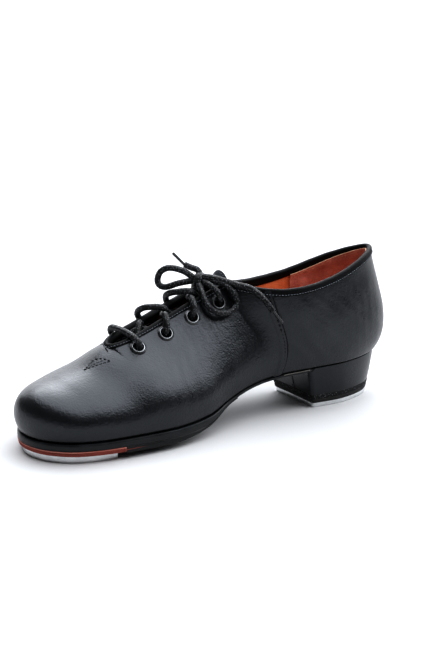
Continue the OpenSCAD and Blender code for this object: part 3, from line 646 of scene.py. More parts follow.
# ---- Lace
LACE_D = 4
THREAD_ROUTE = [[-4, -2.5, 89.5], [-11, 0.5, 87], [-15.8, 2.8, 82.5], [-16.2, 3.2, 79], [-13.5, 3.5, 77],
                [-8.8, 4.2, 74.4], [-4, -6, 79.2], [-1, -10.5, 80], [4, -14, 81.2], [9.8, -15.6, 82.2],
                [13.8, -16.6, 78.4], [14.4, -17.2, 74.5], [12, -17, 71.5], [7.6, -17, 68.4],
                [2.6, -27, 72.2], [3, -31.5, 76.6], [2, -35.2, 78], [-1, -38.8, 77.8], [-5.5, -41, 76.6],
                [-11, -41.6, 73.6], [-14.6, -40.3, 70.2], [-15.5, -38.3, 67], [-13.2, -37.4, 64.3],
                [-9.1, -37, 60.8], [-3, -44, 65.6], [1.4, -48.5, 69.2], [7.6, -54, 60.6], [15, -58.8, 55.2],
                [18, -59, 59.7], [19.2, -59.8, 62.8], [16, -61, 65.6], [10.5, -61.8, 67],
                [2.5, -62.5, 67.6], [-5.5, -62.3, 67], [-11.5, -61, 65.4], [-14.6, -59.8, 62.6],
                [-13, -59, 59.5], [-10, -58.4, 55.2], [-4.6, -54, 60.2], [-1.4, -49, 64.4],
                [4.2, -44, 65.2], [10.4, -37.8, 61], [14.4, -38, 64.7], [16.3, -38.2, 67.2],
                [15, -37, 71.4], [10.6, -35.5, 75], [4, -33, 72.4], [-2.4, -29, 71.6],
                [-4.8, -24.5, 71.2], [-9.1, -16.6, 68.2], [-13.6, -16.6, 71], [-16, -17.3, 73.5],
                [-15.2, -19, 77.5], [-11.6, -20.5, 80.6], [-6.5, -20.5, 83], [-1, -18.5, 84.6],
                [4.4, -15.2, 85.8], [4, -10.5, 83.6], [2.6, -5.5, 79.6], [7, 3.2, 75], [11.7, 3, 77.7],
                [14.3, 2.6, 80], [13.4, 1, 84.9], [8.6, -1.5, 88.4], [3, -3, 89.8]]
LEFT_LOOP = [[-2.5, -6, 91.5], [-6, -10.5, 95.2], [-10, -14.7, 97], [-14, -18.5, 97], [-17, -21.8, 94.2],
             [-18, -23.2, 89.3], [-16, -22.8, 86], [-12.5, -20, 85.4], [-7, -14.5, 88.2], [-3.5, -7.5, 89.5]]
RIGHT_LOOP = [[2.5, -1.5, 89.6], [7, 3.5, 89.8], [12, 9, 87.4], [17, 12, 82], [19, 12, 76.5],
              [19.6, 7.5, 72.8], [19.6, 0, 72.6], [16.8, -5, 75], [13.4, -7.6, 79.4], [9.3, -7.4, 84.2],
              [3, -5.5, 88.2]]
END_UP = [[-1.5, -2, 93], [-4, -2.5, 95.8], [-6, -6, 97.4], [-8, -9.5, 99.3]]
END_BACK = [[1.8, -2.2, 92.6], [6, 3, 91.9], [10.7, 8.8, 90], [16, 14.2, 88], [21.6, 20.5, 86],
            [26.8, 26.4, 80], [30.6, 31.6, 72]]
KNOT_AT = vec(-0.5, -3.5, 90.5)
KNOT_MIDDLE = [-0.6, -3.4, 91]
STRANDS = 8
BRAID_PITCH = 7.0


def braided(shape, path):
    """Tube with two families of strands that cross like a braid."""
    sides = 24
    run = run_of(path)[:, None]
    turn = np.arange(sides)[None] / sides * STRANDS
    one = np.cos(2 * np.pi * (turn + run / BRAID_PITCH * STRANDS / 2))
    two = np.cos(2 * np.pi * (turn - run / BRAID_PITCH * STRANDS / 2))
    shape.tube(path, LACE_D / 2 * (0.92 + 0.1 * np.maximum(one, two)), sides)


def lace_piece(name, route, nodes):
    """Braided lace through the points of a route, with its path."""
    path = evenly(route, 0.4)
    shape = Shape()
    braided(shape, path)
    return shape.piece(name, "lace", [LACE], nodes, sharp=60), path


def lace_tip(name, at, before):
    """Crimped tip: a rolled sheath with two pressed bands."""
    axis = unit(vec(*at) - vec(*before))
    t = np.linspace(-0.5, 10.55, 45)
    radius = 0.95 - 0.05 * (np.exp(-((t - 1) / 0.35) ** 2) + np.exp(-((t - 2.4) / 0.35) ** 2))
    radius = radius * np.where(t > 9.9, np.sqrt(np.clip(1 - ((t - 9.9) / 0.7) ** 2, 0.05, 1)), 1)
    shape = Shape()
    shape.tube(vec(*at) + t[:, None] * axis, radius[:, None], 20)
    return shape.piece(name, "lace_tip", [LACE_TIP], ["lace_tips"])


def lace_knot():
    """The wrap that holds the bow: the lace goes round it one and a half times."""
    axis = unit(vec(1, 0.9, 0.05))
    side = unit(np.cross(axis, vec(0, 0, 1)))
    rise = np.cross(side, axis)
    turn = np.linspace(-0.15, 1.45, 60) * 2 * np.pi
    wide = 2.9 + 0.25 * np.sin(turn * 0.5)
    path = (KNOT_AT + (np.cos(turn) * wide)[:, None] * side + (np.sin(turn) * 2.6)[:, None] * rise
            + (np.linspace(-1.4, 1.4, 60) + 0.3 * np.sin(turn))[:, None] * axis)
    shape = Shape()
    braided(shape, path)
    core = np.linspace(-3.8, 3.8, 16)
    thick = 1.9 * np.sqrt(np.clip(1 - (core / 4) ** 2, 0.02, 1))
    shape.tube(KNOT_AT + core[:, None] * axis, thick[:, None])
    return shape.piece("lace_wrap", "lace", [LACE], ["lace_knot"], sharp=60)


def make_laces():
    """The lace as three cords that leave the knot: the threaded part and the two sides of the bow."""
    knot = lace_knot()
    threaded, path = lace_piece("lace_through_eyelets", THREAD_ROUTE, ["lace_threaded"])
    for name, start, loop, end, tip_name, before in (
            ("lace_bow_left", [-1.5, -4.6, 90.2], LEFT_LOOP, END_UP, "lace_tip_up", [-4, -3.9, 92.3]),
            ("lace_bow_right", [0.4, -4.2, 89.6], RIGHT_LOOP, END_BACK, "lace_tip_back", [28.2, 25.6, 80.6])):
        bow, path = lace_piece(name, [start] + loop[::-1] + [KNOT_MIDDLE] + end, ["lace_bow"])
        tip = lace_tip(tip_name, end[-1], before)


make_laces()


# ---- Upper
EYELET_S = 5.42
EYELET_STEP = 0.757
EYELET_H = 0.88
EYELET_BORE = 6.2
EYELET_D = 10.4
EYELET_HOLE_R = 3.6
EYELET_HOLE_REACH = 8


def side_name(side):
    return "medial" if side > 0 else "lateral"


def eyelet_centres(side):
    stations = side * (EYELET_S + EYELET_STEP * np.arange(4))
    return [(skin(s, EYELET_H), wall_normal(s, EYELET_H)) for s in stations]


def open_cells(points):
    """Cells of a grid of points that stay, away from the holes for the eyelets."""
    middle = (points[:-1, :-1] + points[1:, :-1] + points[1:, 1:] + points[:-1, 1:]) / 4
    keep = np.ones(middle.shape[:2], bool)
    for centre, normal in eyelet_centres(1) + eyelet_centres(-1):
        d = middle - centre
        flat = d - dot(d, normal) * normal
        far = np.abs(dot(d, normal)[..., 0]) > EYELET_HOLE_REACH
        keep &= (np.linalg.norm(flat, axis=-1) > EYELET_HOLE_R) | far
    return keep


def waves(p, *terms):
    """Sum of level waves over points: each term is a direction, a wavelength, a height and a phase."""
    total = 0
    for direction, length, height, phase in terms:
        total = total + height * np.sin(2 * np.pi * (p @ unit(vec(*direction))) / length + phase)
    return total


def spot(p, at, size):
    """1 at a point, falling to 0 over size."""
    d = np.linalg.norm((p - vec(*at)) / size, axis=-1)
    return np.exp(-d * d)


FOOT_TURN = 1.1
FOOT_TURN_H = 0.035


def leather_relief(p, h):
    """Outward height of the leather: slow unevenness, flexing creases and soft wrinkles."""
    slow = waves(p, ((1, 0.3, 0.5), 37, 0.1, 0), ((-0.4, 1, 0.3), 29, 0.09, 1), ((0.3, 0.6, -1), 21, 0.06, 2))
    bend = waves(p, ((0.3, 1, 0.25), 7.5, 0.07, 0.4), ((0.6, 1, 0.1), 5.2, 0.04, 2))
    bend *= spot(p, (30, -38, 40), 17) + spot(p, (-30, -35, 42), 17) + 0.7 * spot(p, (27, -20, 58), 12)
    fine = waves(p, ((0.1, 1, -0.6), 4.4, 0.09, 0), ((0.3, 0.8, 0.5), 3.7, 0.06, 1))
    fine *= spot(p, (21, -8, 66), 9) + 0.7 * spot(p, (17, -28, 64), 7) + spot(p, (-21, -8, 66), 9)
    soft = waves(p, ((0, 0.75, 0.65), 11, 0.22, 1), ((0, 0.6, 0.8), 6.7, 0.1, 2.4))
    soft *= spot(p, (30, 62, 56), 19) + spot(p, (-24, 62, 56), 19) + 0.8 * spot(p, (27, 100, 60), 15)
    upright = waves(p, ((0.3, 1, 0.05), 6.1, 0.05, 0))
    upright *= spot(p, (25, 108, 60), 18) + spot(p, (-18, 106, 60), 18)
    inside = smooth((1 - h) / 0.15) * smooth(h / 0.08)
    return (slow + bend + fine + soft + upright) * inside


def foot_turn(h):
    """How far the leather draws in just over the feather line, where it turns under."""
    u = np.clip(h / FOOT_TURN_H, 0, 1)
    return FOOT_TURN * (1 - np.sqrt(1 - (1 - u) ** 2))


def leather_grids(s, h, lift=0.0):
    """Outer and inner grid of an upper leather; h below 0 is the margin turned under the foot."""
    hh = np.maximum(h, 0)
    p = skin(s, hh)
    depth = foot_turn(hh) - leather_relief(p, hh) - lift
    outer = wall(s, hh, depth)
    inner = wall(s, hh, np.maximum(depth, 0) + LEATHER)
    under = np.broadcast_to(h < 0, s.shape)[..., None]
    turned = feather(s) - MARGIN * outward(s)
    low = feather(s) - FOOT_TURN * outward(s)
    outer = np.where(under, turned, outer)
    inner = np.where(under, turned + vec(0, 0, LEATHER), inner)
    foot = np.broadcast_to(h == 0, s.shape)[..., None]
    outer = np.where(foot, low, outer)
    inner = np.where(foot, low - LEATHER * outward(s) + vec(0, 0, LEATHER), inner)
    return outer, inner


def both(half):
    """A half row of stations carried over to the other side."""
    return np.concatenate([-half[:0:-1], half])


WALL_HEIGHTS = np.concatenate([[-1, 0], np.linspace(0.003, 0.04, 6), np.linspace(0.05, 1, 78)])
THROAT_ROUND = THROAT_S + 0.6 * (1 - np.cos(np.linspace(0, np.pi / 2, 17)[1:]))
QUARTER_SHARES = np.concatenate([np.linspace(0, 0.06, 7), np.linspace(0.06, 0.97, 100)[1:],
                                 np.linspace(0.97, 1, 9)[1:]])
VAMP_HALF = np.concatenate([np.linspace(0, THROAT_S, 121), THROAT_ROUND, np.linspace(5.6, 8.5, 74)[1:],
                            np.linspace(8.5, SEAM_S + 0.03, 16)[1:]])


SEAM_LIFT = 0.75
SEAM_DROP = 0.35


def make_vamp():
    s, h = grid(both(VAMP_HALF), WALL_HEIGHTS)
    lift = SEAM_LIFT * smooth((np.abs(s) - 8.56) / 0.08) - SEAM_DROP * smooth((np.abs(s) - 8.74) / 0.04)
    outer, inner = leather_grids(vamp_s(s, h), h, lift)
    shape = Shape()
    shape.sheet(outer, inner, open_cells(outer))
    for side in (1, -1):
        seam_stitches(shape, side)
    triangle_stitches(shape)
    shape.piece("vamp_leather", "black_leather", [BLACK_LEATHER, THREAD, PALE_THREAD], ["vamp"])


def seam_stitches(shape, side):
    """Bold stitches down the upper half of the side seam, fine ones below, and a dark tube along the seam
    that is painted shade for the shadow line at its edge.
    """
    for top, low, out, pitch, radius in ((0.965, 0.5, 0.65, 3.1, 0.55), (0.49, 0.05, 0.7, 2.2, 0.2)):
        h = np.linspace(top, low, 8)
        path, normal = on_wall(side * (seam(h) - 0.05), h, -out)
        stitch_row(shape, path, normal, pitch, radius, 1)
    # Painted shade: a dark tube down the seam stands in for the shadow line at the vamp's edge.
    h = np.linspace(0.97, 0.03, 12)
    path, _ = on_wall(side * (seam(h) + 0.01), h, -0.45, 120)
    shape.tube(path, 0.5, 10, 1)


def triangle_stitches(shape):
    """Stitched triangle on the vamp under the throat, and the bar tack over it."""
    left, right, low = vec(4.44, 0.985), vec(4.68, 0.858), vec(3.94, 0.977)
    share = np.linspace(0, 1, 6)
    bow = 0.05 * np.sin(np.pi * share)

    def row(start, end, pitch, radius, fill=0.62, bend=0.0):
        path, normal = on_wall(mix(start[0], end[0], share) + bend, mix(start[1], end[1], share), -0.1)
        stitch_row(shape, path, normal, pitch, radius, 1, fill)

    row(left, right, 2.4, 0.3, bend=bow)
    row(low, left, 1.9, 0.16)
    row(low, right, 2.4, 0.18, 0.85)
    row(low + vec(0.09, 0), right + vec(0, 0.036), 2.4, 0.1, 0.85)
    path, normal = on_wall(vec(4.86, 4.88, 4.9), vec(0.95, 0.972, 0.995), -0.15)
    stitch_row(shape, path, normal, 1.1, 0.4, 1, 0.9)


def make_quarter(side):
    ww, h = grid(QUARTER_SHARES, WALL_HEIGHTS)
    valley = 0.35 * np.exp(-((1 - ww) / 0.006) ** 2)
    outer, inner = leather_grids(side * quarter_s(ww, h), h, -0.12 * (1 - smooth(ww / 0.03)) - valley)
    shape = Shape()
    shape.sheet(outer, inner)
    name = side_name(side)
    shape.piece(f"quarter_leather_{name}", "black_leather", [BLACK_LEATHER], [f"quarter_{name}"])


COLLAR_SKIVE = 0.36


def thin_top(s, h):
    """The layers are skived towards the collar."""
    return 1 - COLLAR_SKIVE * smooth((h - 0.78) / 0.2) * smooth((np.abs(s) - 7.6) / 0.7)


GRIP_W = 0.42
GRIP_T = 0.85
GRIP_LAP = 2.75
LINING_TOP_H = 0.985
LINING_STEPS = np.linspace(0, 1, 40)


def make_vamp_lining():
    half = np.concatenate([np.linspace(0, THROAT_S, 50), THROAT_ROUND, np.linspace(5.6, SEAM_S, 50)[1:]])
    s, v = grid(both(half), LINING_STEPS)
    h = mix(lining_h(s), LINING_TOP_H, v)
    ss = vamp_s(s, h)
    thin = thin_top(ss, h)
    outer = wall(ss, h, LINING_IN * thin)
    # Painted shade: cells of the lining under the lace opening take the binding's black leather, a black
    # backing that stands in for the shade of the tongue and laces.
    painted_shade_cells = ((np.abs(s) > 4.2) & (h > 0.25))[:-1, :-1]
    shape = Shape()
    shape.sheet(outer, wall(ss, h, LINING_BACK * thin), open_cells(outer), painted_shade_cells.astype(int))
    shape.piece("forepart_lining", "orange_lining", [ORANGE_LEATHER, BINDING_LEATHER],
                ["vamp_lining"])


def make_side_lining(side):
    w, v = grid(np.linspace(-0.004, GRIP_W + 0.06, 50), LINING_STEPS)
    h = mix(lining_h(vec(9))[0], LINING_TOP_H, v)
    s = side * quarter_s(w, h)
    thin = thin_top(s, h)
    shape = Shape()
    shape.sheet(wall(s, h, LINING_IN * thin), wall(s, h, LINING_BACK * thin))
    name = side_name(side)
    shape.piece(f"side_lining_{name}", "orange_lining", [ORANGE_LEATHER],
                [f"quarter_lining_{name}"])


def grip_depth(s, h):
    """Inner face of the heel grip, which laps over the binding and the side linings."""
    lap = smooth((h - 0.86) / 0.05)
    front = smooth((10.5 - np.abs(s)) / 0.2)
    over_lining = mix(LINING_IN, LINING_BACK + 0.1, front) * thin_top(s, h)
    return np.maximum(mix(LINING_IN, GRIP_LAP, lap), over_lining)


def grip_top(w):
    """Height of the grip's raw top edge, which climbs towards the heel."""
    return mix(0.945, 0.985, smooth((w - 0.45) / 0.5))


def make_heel_grip():
    w = np.concatenate([np.linspace(0, 1, 60), np.linspace(1, 0, 60)[1:]])
    side = np.concatenate([np.ones(60), -np.ones(59)])
    (ww, v), ss = grid(w, LINING_STEPS), side[:, None]
    ww = mix(mix(GRIP_W - 0.06, GRIP_W, v), 1, ww)
    h = mix(lining_h(vec(10))[0], grip_top(ww), v)
    s = ss * quarter_s(ww, h)
    nap = waves(skin(s, h), ((0, 0.4, 1), 19, 0.12, 0), ((1, 0.3, 0.2), 13, 0.08, 1))
    depth = grip_depth(s, h) + nap * smooth((1 - v) / 0.2)
    shape = Shape()
    shape.sheet(wall(s, h, depth), wall(s, h, depth + GRIP_T), rim=1)
    walk = np.linspace(0, 2, 700)
    share = mix(GRIP_W + 0.01, 1, np.minimum(walk, 2 - walk))
    high = grip_top(share) - 0.025
    around = np.where(walk < 1, 1, -1) * quarter_s(share, high)
    deep = grip_depth(around, high) + GRIP_T
    stitch_row(shape, wall(around, high, deep), -wall_normal(around, high), 2.3, 0.2, 2)
    shape.piece("heel_grip_suede", "brown_suede", [BROWN_SUEDE, RAW_EDGE, TAN_THREAD], ["heel_grip"])


BINDING_T = 0.6
BINDING_OUT = 0.75
COLLAR_BINDING = 3.4
FACING_BINDING = 2.3


def make_binding():
    """Folded strip round the opening: outer flap, rolled top and inner flap, with its stitches."""
    half = np.concatenate([[THROAT_S], THROAT_ROUND, np.linspace(5.6, 7.8, 60)[1:],
                           np.linspace(7.8, 8.3, 24)[1:], np.linspace(8.3, LAST_S, 130)[1:]])
    s = np.concatenate([half, -half[-2:0:-1]])
    e = edge(s)
    t = unit(np.roll(e, -1, 0) - np.roll(e, 1, 0))
    n = wall_normal(s, np.where(np.abs(s) < 5.001, 1.0, 0.97))
    for _ in range(3):
        n = unit(np.roll(n, 1, 0) + 2 * n + np.roll(n, -1, 0))
    n = unit(n - dot(n, t) * t)
    d = unit(np.cross(n, t))
    a = np.abs(s)
    flap = mix(FACING_BINDING, COLLAR_BINDING, smooth((a - 7.8) / 0.8))
    inner_flap = mix(flap, mix(4.6, 1.5, smooth((a - 9.3) / 2.2)), smooth((a - 7.8) / 0.8))
    deep = mix(LINING_BACK + 0.1, LINING_BACK * (1 - COLLAR_SKIVE) + 0.15, smooth((a - 7.6) / 0.7))
    out = BINDING_OUT
    roll = (out + deep + BINDING_T) / 2
    turn = np.linspace(0, np.pi, 11)
    lumps = 0.05 * np.sin(run_of(e) / 2.1) + 0.05 * np.sin(run_of(e) / 5.3 + 1)
    top = BINDING_T + 0.15 + lumps - out
    profile = [(0.1, -flap), (0.45, -flap - 0.12), (out - 0.12, -flap + 0.12), (out, -flap + 0.5)]
    profile += [(out - roll + roll * np.cos(k), top + 0.95 * np.minimum(roll, 1.5) * np.sin(k)) for k in turn]
    back = -deep - BINDING_T
    profile += [(back, -inner_flap + 0.4), (back + 0.12, -inner_flap), (back + BINDING_T, -inner_flap),
                (-deep, top - 0.6), (0.1, top - 0.6)]
    spread = [floats(x, y, a) for x, y in profile]
    rings = np.stack([e + n * x[:, None] + d * y[:, None] for x, y, _ in spread], 1)
    shape = Shape()
    shape.rings(rings, closed=False)
    shown = np.r_[np.arange(len(s)), 0]
    line = (e + n * (out + 0.02) - d * (flap - 0.85)[:, None])[shown]
    stitch_row(shape, line, n[shown], 2.0, 0.2, 1)
    shape.piece("collar_and_facing_binding", "binding", [BINDING_LEATHER, PALE_THREAD],
                ["edge_binding"])


def make_eyelets(side):
    """Row of eyelets: rolled flange with a crest, barrel and washer; the flange is painted black as painted
    shade and the crest silver as a painted highlight.
    """
    r = EYELET_BORE / 2
    wide = EYELET_D / 2
    turn = np.linspace(0, np.pi, 9)
    flange = [(wide - 0.35 * (1 - math.cos(k)) * 0.5, 0.35 + 0.35 * math.sin(k / 2)) for k in turn[:5]]
    crest = [(r + 0.72 + 0.34 * math.cos(k), 0.72 + 0.36 * math.sin(k)) for k in turn]
    barrel = [(r, 0.35), (r - 0.02, -0.6), (r, -4.1), (r + 0.3, -4.45), (r + 1.3, -4.5), (r + 1.5, -4.2),
              (r + 1.4, -3.9), (r + 0.5, -3.9), (r + 0.5, 0.3), (wide - 0.1, 0.3)]
    profile = flange + [(r + 1.35, 0.95)] + crest + barrel
    spin = np.arange(48) * 2 * np.pi / 48
    shape = Shape()
    for centre, normal in eyelet_centres(side):
        x = unit(np.cross(normal, vec(0, 0, 1)))
        y = np.cross(normal, x)
        ring = np.cos(spin)[:, None] * x + np.sin(spin)[:, None] * y
        start = len(shape.paint)
        shape.rings([centre + q * ring + z * normal for q, z in profile + profile[:1]], caps=False)
        # The crest takes the silver painted highlight; the rest keeps the black painted shade.
        first = (len(flange) + 1) * 48
        for k in range(start + first, start + first + len(crest[:-1]) * 48):
            shape.paint[k] = 1
    name = side_name(side)
    shape.piece(f"eyelet_row_{name}", "eyelet_metal", [EYELET_PAINTED_SHADE, EYELET_PAINTED_HIGHLIGHT],
                [f"eyelets_{name}"], sharp=50)


# ---- Tongue
TONGUE_DEPTH = 8
TONGUE_TOP_S = 7.9
TONGUE_REACH = 10.5
TONGUE_TOP_X = -1.2
TONGUE_TOP_W = 8.4
TONGUE_TOP_Z = 94


def tongue_rows(a, depth):
    """Rows across the tongue at stations a, from the medial to the lateral side."""
    heights = np.linspace(0.72, 1, 15)
    aa, h = grid(a, heights)
    d = depth + mix(LINING_BACK + 0.5, TONGUE_DEPTH, smooth((aa - 4.4) / 1.2))
    m, l = wall(aa, h, d), wall(-aa, h, d)[:, ::-1]
    gap = np.linalg.norm(m[:, -1] - l[:, 0], axis=-1)[:, None]
    w = np.linspace(0, 1, 11)[1:-1]
    middle = [mix(m[:, -1], l[:, 0], k) + gap * vec(0, 0, 0.3 * k * (1 - k)) for k in w]
    return np.concatenate([m, np.stack(middle, 1), l], 1)


def tongue_arch(count, depth):
    """Top edge of the tongue: a low arch over the instep that turns down at both sides."""
    u = np.linspace(1, -1, count)
    a = np.abs(u)
    flat, side = np.minimum(a / 0.5, 1), np.maximum(a - 0.5, 0) / 0.5
    x = TONGUE_TOP_X + np.sign(u) * ((TONGUE_TOP_W - depth) * flat + 1.6 * side)
    z = TONGUE_TOP_Z - depth - 3.2 * flat**2 - 16 * side
    return np.stack([x, 13 + 4 * side - 0.5 * flat, z], -1)


def tongue_grid(depth):
    """Grid of points over the tongue, from its sewn front to its arched top."""
    rows = tongue_rows(np.linspace(4.5, TONGUE_TOP_S, 70), depth)
    last, before = rows[-1], tongue_rows(vec(TONGUE_TOP_S - 0.5), depth)[0]
    rise = 0.55 * unit(last - before) + vec(0, 0, 0.75)
    top = []
    droop = 1 - 0.4 * np.linspace(-1, 1, len(last))[:, None] ** 2
    for reach in np.linspace(0, TONGUE_REACH, 14)[1:]:
        e = last + reach * droop * rise
        arch = tongue_arch(len(last), depth) - (TONGUE_REACH - reach) * vec(0, 0.35, 0.8)
        top.append(mix(e, arch, 0.9 * smooth(reach / TONGUE_REACH)))
    return np.concatenate([rows, np.array(top)])


def make_tongue():
    front = tongue_grid(0)
    ripple = waves(front, ((0.2, 0.5, 1), 14, 0.15, 0), ((1, 0, 0.3), 11, 0.12, 1))
    front = front + vec(0, 0, 1) * ripple[..., None] * 0.5
    back = tongue_grid(LEATHER)
    shape = Shape()
    shape.sheet(front, back)
    for rows in (slice(None), slice(None, None, -1)):
        line = front[:, rows][8:-2, 2]
        stitch_row(shape, line, np.tile(vec(0.1, -0.6, 0.8), (len(line), 1)), 2.2, 0.2, 1)
    stitch_row(shape, front[-3, 2:-2], np.tile(vec(0.1, -0.8, 0.6), (len(front[0]) - 4, 1)), 2.2, 0.2, 1)
    # The tongue's leather is painted grey as a painted highlight.
    shape.piece("tongue_leather", "black_leather", [TONGUE_HIGHLIGHT_GREY, PALE_THREAD], ["tongue"], "tongue")
    shape = Shape()
    shape.sheet(tongue_grid(LEATHER + 0.05), tongue_grid(LEATHER + 0.85))
    shape.piece("tongue_backing", "orange_lining", [ORANGE_LEATHER], ["tongue_lining"], "tongue")


# ---- Sole
SOLE_EDGE = 1.5
HEEL_EDGE_IN = 1.2
BOARD_END = 3.6
BOARD_T = 3.1
SOCK_Z = 3.85
SOCK_T = 1.1


def edge_off(s):
    """How far the sole edge stands out from the feather line."""
    return SOLE_EDGE * (1 - smooth((s - 5.6) / 2)) - HEEL_EDGE_IN * smooth((s - 8.9) / 0.3)


def plate(shape, s, off, low, high, bulge=0.35, paint=0):
    """Layer under the foot between heights low and high, with a rounded edge."""
    turn = np.linspace(-1, 1, 7)
    sides = []
    for side in (1, -1):
        base, out = feather(side * s), outward(side * s)
        rows = []
        for k in turn:
            swell = off + bulge * (np.sqrt(np.maximum(1 - np.abs(k) ** 3, 0)) - 1)
            p = base + swell[:, None] * out
            z = mix(low(p[:, 1]), high(p[:, 1]), (k + 1) / 2)
            rows.append(np.stack([p[:, 0], p[:, 1], z], -1))
        sides.append(rows)
    shape.rings(np.stack(sides[0] + sides[1][::-1], 1), paint=paint)


def make_outsole():
    s = np.linspace(0, LAST_S, 220)
    shape = Shape()
    plate(shape, s, edge_off(s), lambda y: sole_z(y), lambda y: sole_z(y) + sole_t(y), 0.5)
    # Pale tube on the outsole's top edge at the waist: partly a worn edge, partly a painted highlight where
    # the edge catches light.
    for side in (1, -1):
        worn_and_lit = side * np.linspace(8.35, 8.95, 20)
        shape.tube(feather(worn_and_lit) + 0.1 * outward(worn_and_lit) - vec(0, 0, 0.5), 0.3, 8, 1)
    shape.piece("outsole_leather", "sole_leather", [OUTSOLE_EDGE, WORN_EDGE_AND_HIGHLIGHT], ["outsole"])


def make_half_sole():
    s = np.linspace(BOARD_END + 0.01, 7.1, 90)
    shape = Shape()
    plate(shape, s, edge_off(s) - 0.3, lambda y: sole_z(y) - mix(HALF_SOLE, 0.8, smooth((s - 4.8) / 2)),
          lambda y: sole_z(y) - 0.1, 0.5)
    shape.piece("half_sole_leather", "sole_rubber", [BLACK_EDGE], ["half_sole"])


def make_toe_board():
    """Red fibre board in two plies over the toe tap, with a thin skived end."""
    s = np.linspace(0, BOARD_END, 90)
    shape = Shape()
    plate(shape, s, edge_off(s) - 0.5, lambda y: sole_z(y) - BOARD_T, lambda y: sole_z(y) - 0.9, 0.25)
    plate(shape, s, edge_off(s) - 0.1, lambda y: sole_z(y) - 0.85, lambda y: sole_z(y) - 0.05, 0.3, 1)
    s = np.linspace(BOARD_END - 0.05, 4.15, 20)
    w = (s - s[0]) / (s[-1] - s[0])
    plate(shape, s, edge_off(s) - 0.3, lambda y: sole_z(y) - mix(3.0, 1.7, w),
          lambda y: sole_z(y) - mix(0.9, 1.6, w), 0.2)
    shape.piece("toe_board", "red_fibre", [RED_FIBRE, RED_FIBRE_TOP], ["toe_sound_board"])


def make_insole():
    s = np.linspace(0, LAST_S, 120)
    shape = Shape()
    plate(shape, s, 0 * s - LINING_BACK + 0.3, lambda y: seat_z(y) + SOCK_Z,
          lambda y: seat_z(y) + SOCK_Z + SOCK_T, 0.3)
    shape.piece("sock", "sock_leather", [TAN_LEATHER], ["sock_lining"])


TOE_TAP = 4.8
TAP_REAR = [[36.5, -88], [31, -86], [19, -85.2], [5, -87.5], [-9, -85.6], [-21, -86], [-30, -87.5],
            [-34.5, -89.5]]
TAP_END = 3.45
TAP_IN = 1.5
HEAD_R = 3.45
SHANK_R = 1.45


def toe_tap_outline(inset):
    """Outline of the toe tap: round the toe, then the waved rear edge."""
    share = np.linspace(-1, 1, 150)
    s = share * TAP_END
    front = feather_xy(s) - ((TAP_IN + inset + 2.1 * share**4)[:, None] * outward(s))[:, :2]
    rear = curve(TAP_REAR, np.linspace(0, 7, 60)) * vec(1 - 0.02 * inset, 1) - vec(0, inset)
    return even_loop(np.concatenate([front, rear, front[:1]]))


def tap_plate(name, node, outline, height, bevel, places):
    """Metal tap with a rolled edge and countersunk holes, standing on the floor."""
    levels = [(bevel, 0), (bevel * 0.45, bevel * 0.12), (bevel * 0.12, bevel * 0.45), (0, bevel),
              (0, height - 0.35), (0.1, height - 0.1), (0.35, height)]
    shape = Shape()
    rings = [np.c_[outline(inset), np.full(len(outline(0)), z)] for inset, z in levels]
    shape.rings(rings, caps=False)
    spin = np.linspace(0, 2 * np.pi, 33)[:-1]
    ring = np.stack([np.cos(spin), np.sin(spin), 0 * spin], -1)
    holes = []
    for x, y in places:
        bore = [(HEAD_R, 0), (HEAD_R, 0.3), (SHANK_R, 2.2), (SHANK_R, height)]
        holes.append([vec(x, y, z) + r * ring for r, z in bore])
        shape.rings(holes[-1], caps=False)
    for rim, level in ((rings[0], 0), (rings[-1], -1)):
        loops = [rim] + [hole[level] for hole in holes]
        points = np.concatenate(loops)
        faces = tessellate_polygon([[Vector(p) for p in loop] for loop in loops])
        shape.add(points, faces)
    piece = shape.piece(name, "tap_metal", [TAP_METAL], [node], node, 35)
    face_outward(piece.data, weld=True)


# ---- Heel
HEEL_TOP = 26
HEEL_TAP = 3
HEEL_BOARD = 2.6
HEEL_LIFT = 3
BREAST_S = 9
HEEL_X = 4
HEEL_Y = 64
HEEL_LOW_Y = 68
HEEL_HIGH_Y = 62
HEEL_TAPER = 0.84
HEEL_CORNER = 2.4


def heel_outline(z, inset=0.0):
    """Closed outline of the heel at height z: round the back, then the breast, with rounded corners."""
    k = min(max(z / HEEL_TOP, 0), 1)
    s = np.concatenate([np.linspace(BREAST_S, 11.2, 40), np.linspace(11.2, LAST_S, 40)[1:]])
    s = np.concatenate([s, -s[-2::-1]])
    q = feather_xy(s) + ((0.2 - inset) * outward(s))[:, :2]
    x = HEEL_X + (q[:, 0] - HEEL_X) * mix(HEEL_TAPER, 1, k)
    y = mix(HEEL_LOW_Y, HEEL_HIGH_Y, k) + (q[:, 1] - HEEL_Y) * mix(HEEL_TAPER, 1.02, k)
    line = np.stack([x, y], -1)
    line[[0, -1], 1] += inset * 0.9
    breast = mix(line[-1], line[0], np.linspace(0, 1, 60)[:, None])
    breast[:, 1] += 0.5 * np.sin(np.pi * np.linspace(0, 1, 60))

    def clear(points):
        near = [np.linalg.norm(points - end, axis=1) for end in (line[0], line[-1])]
        return points[np.minimum(*near) > HEEL_CORNER]

    def corner(before, at, after):
        w = np.linspace(0, 1, 9)[1:-1, None]
        return (1 - w) ** 2 * before + 2 * w * (1 - w) * at + w**2 * after

    back, front = clear(line), clear(breast)
    turns = corner(back[-1], line[-1], front[0]), corner(front[-1], line[0], back[0])
    return even_loop(np.concatenate([back, turns[0], front, turns[1], back[:1]]))


def heel_layer(shape, low, high, bulge, top=None):
    """Layer of the heel with a rounded edge; top gives the height of an uneven top face."""
    rings = []
    for k in np.linspace(0, 1, 9):
        swell = bulge * (1 - math.sqrt(max(1 - abs(2 * k - 1) ** 3, 0)))
        z = mix(low, high, k)
        p = heel_outline(z, swell)
        level = np.full(len(p), z) if top is None else mix(low, top(p[:, 1]), k)
        rings.append(np.c_[p, level])
    shape.rings(rings)


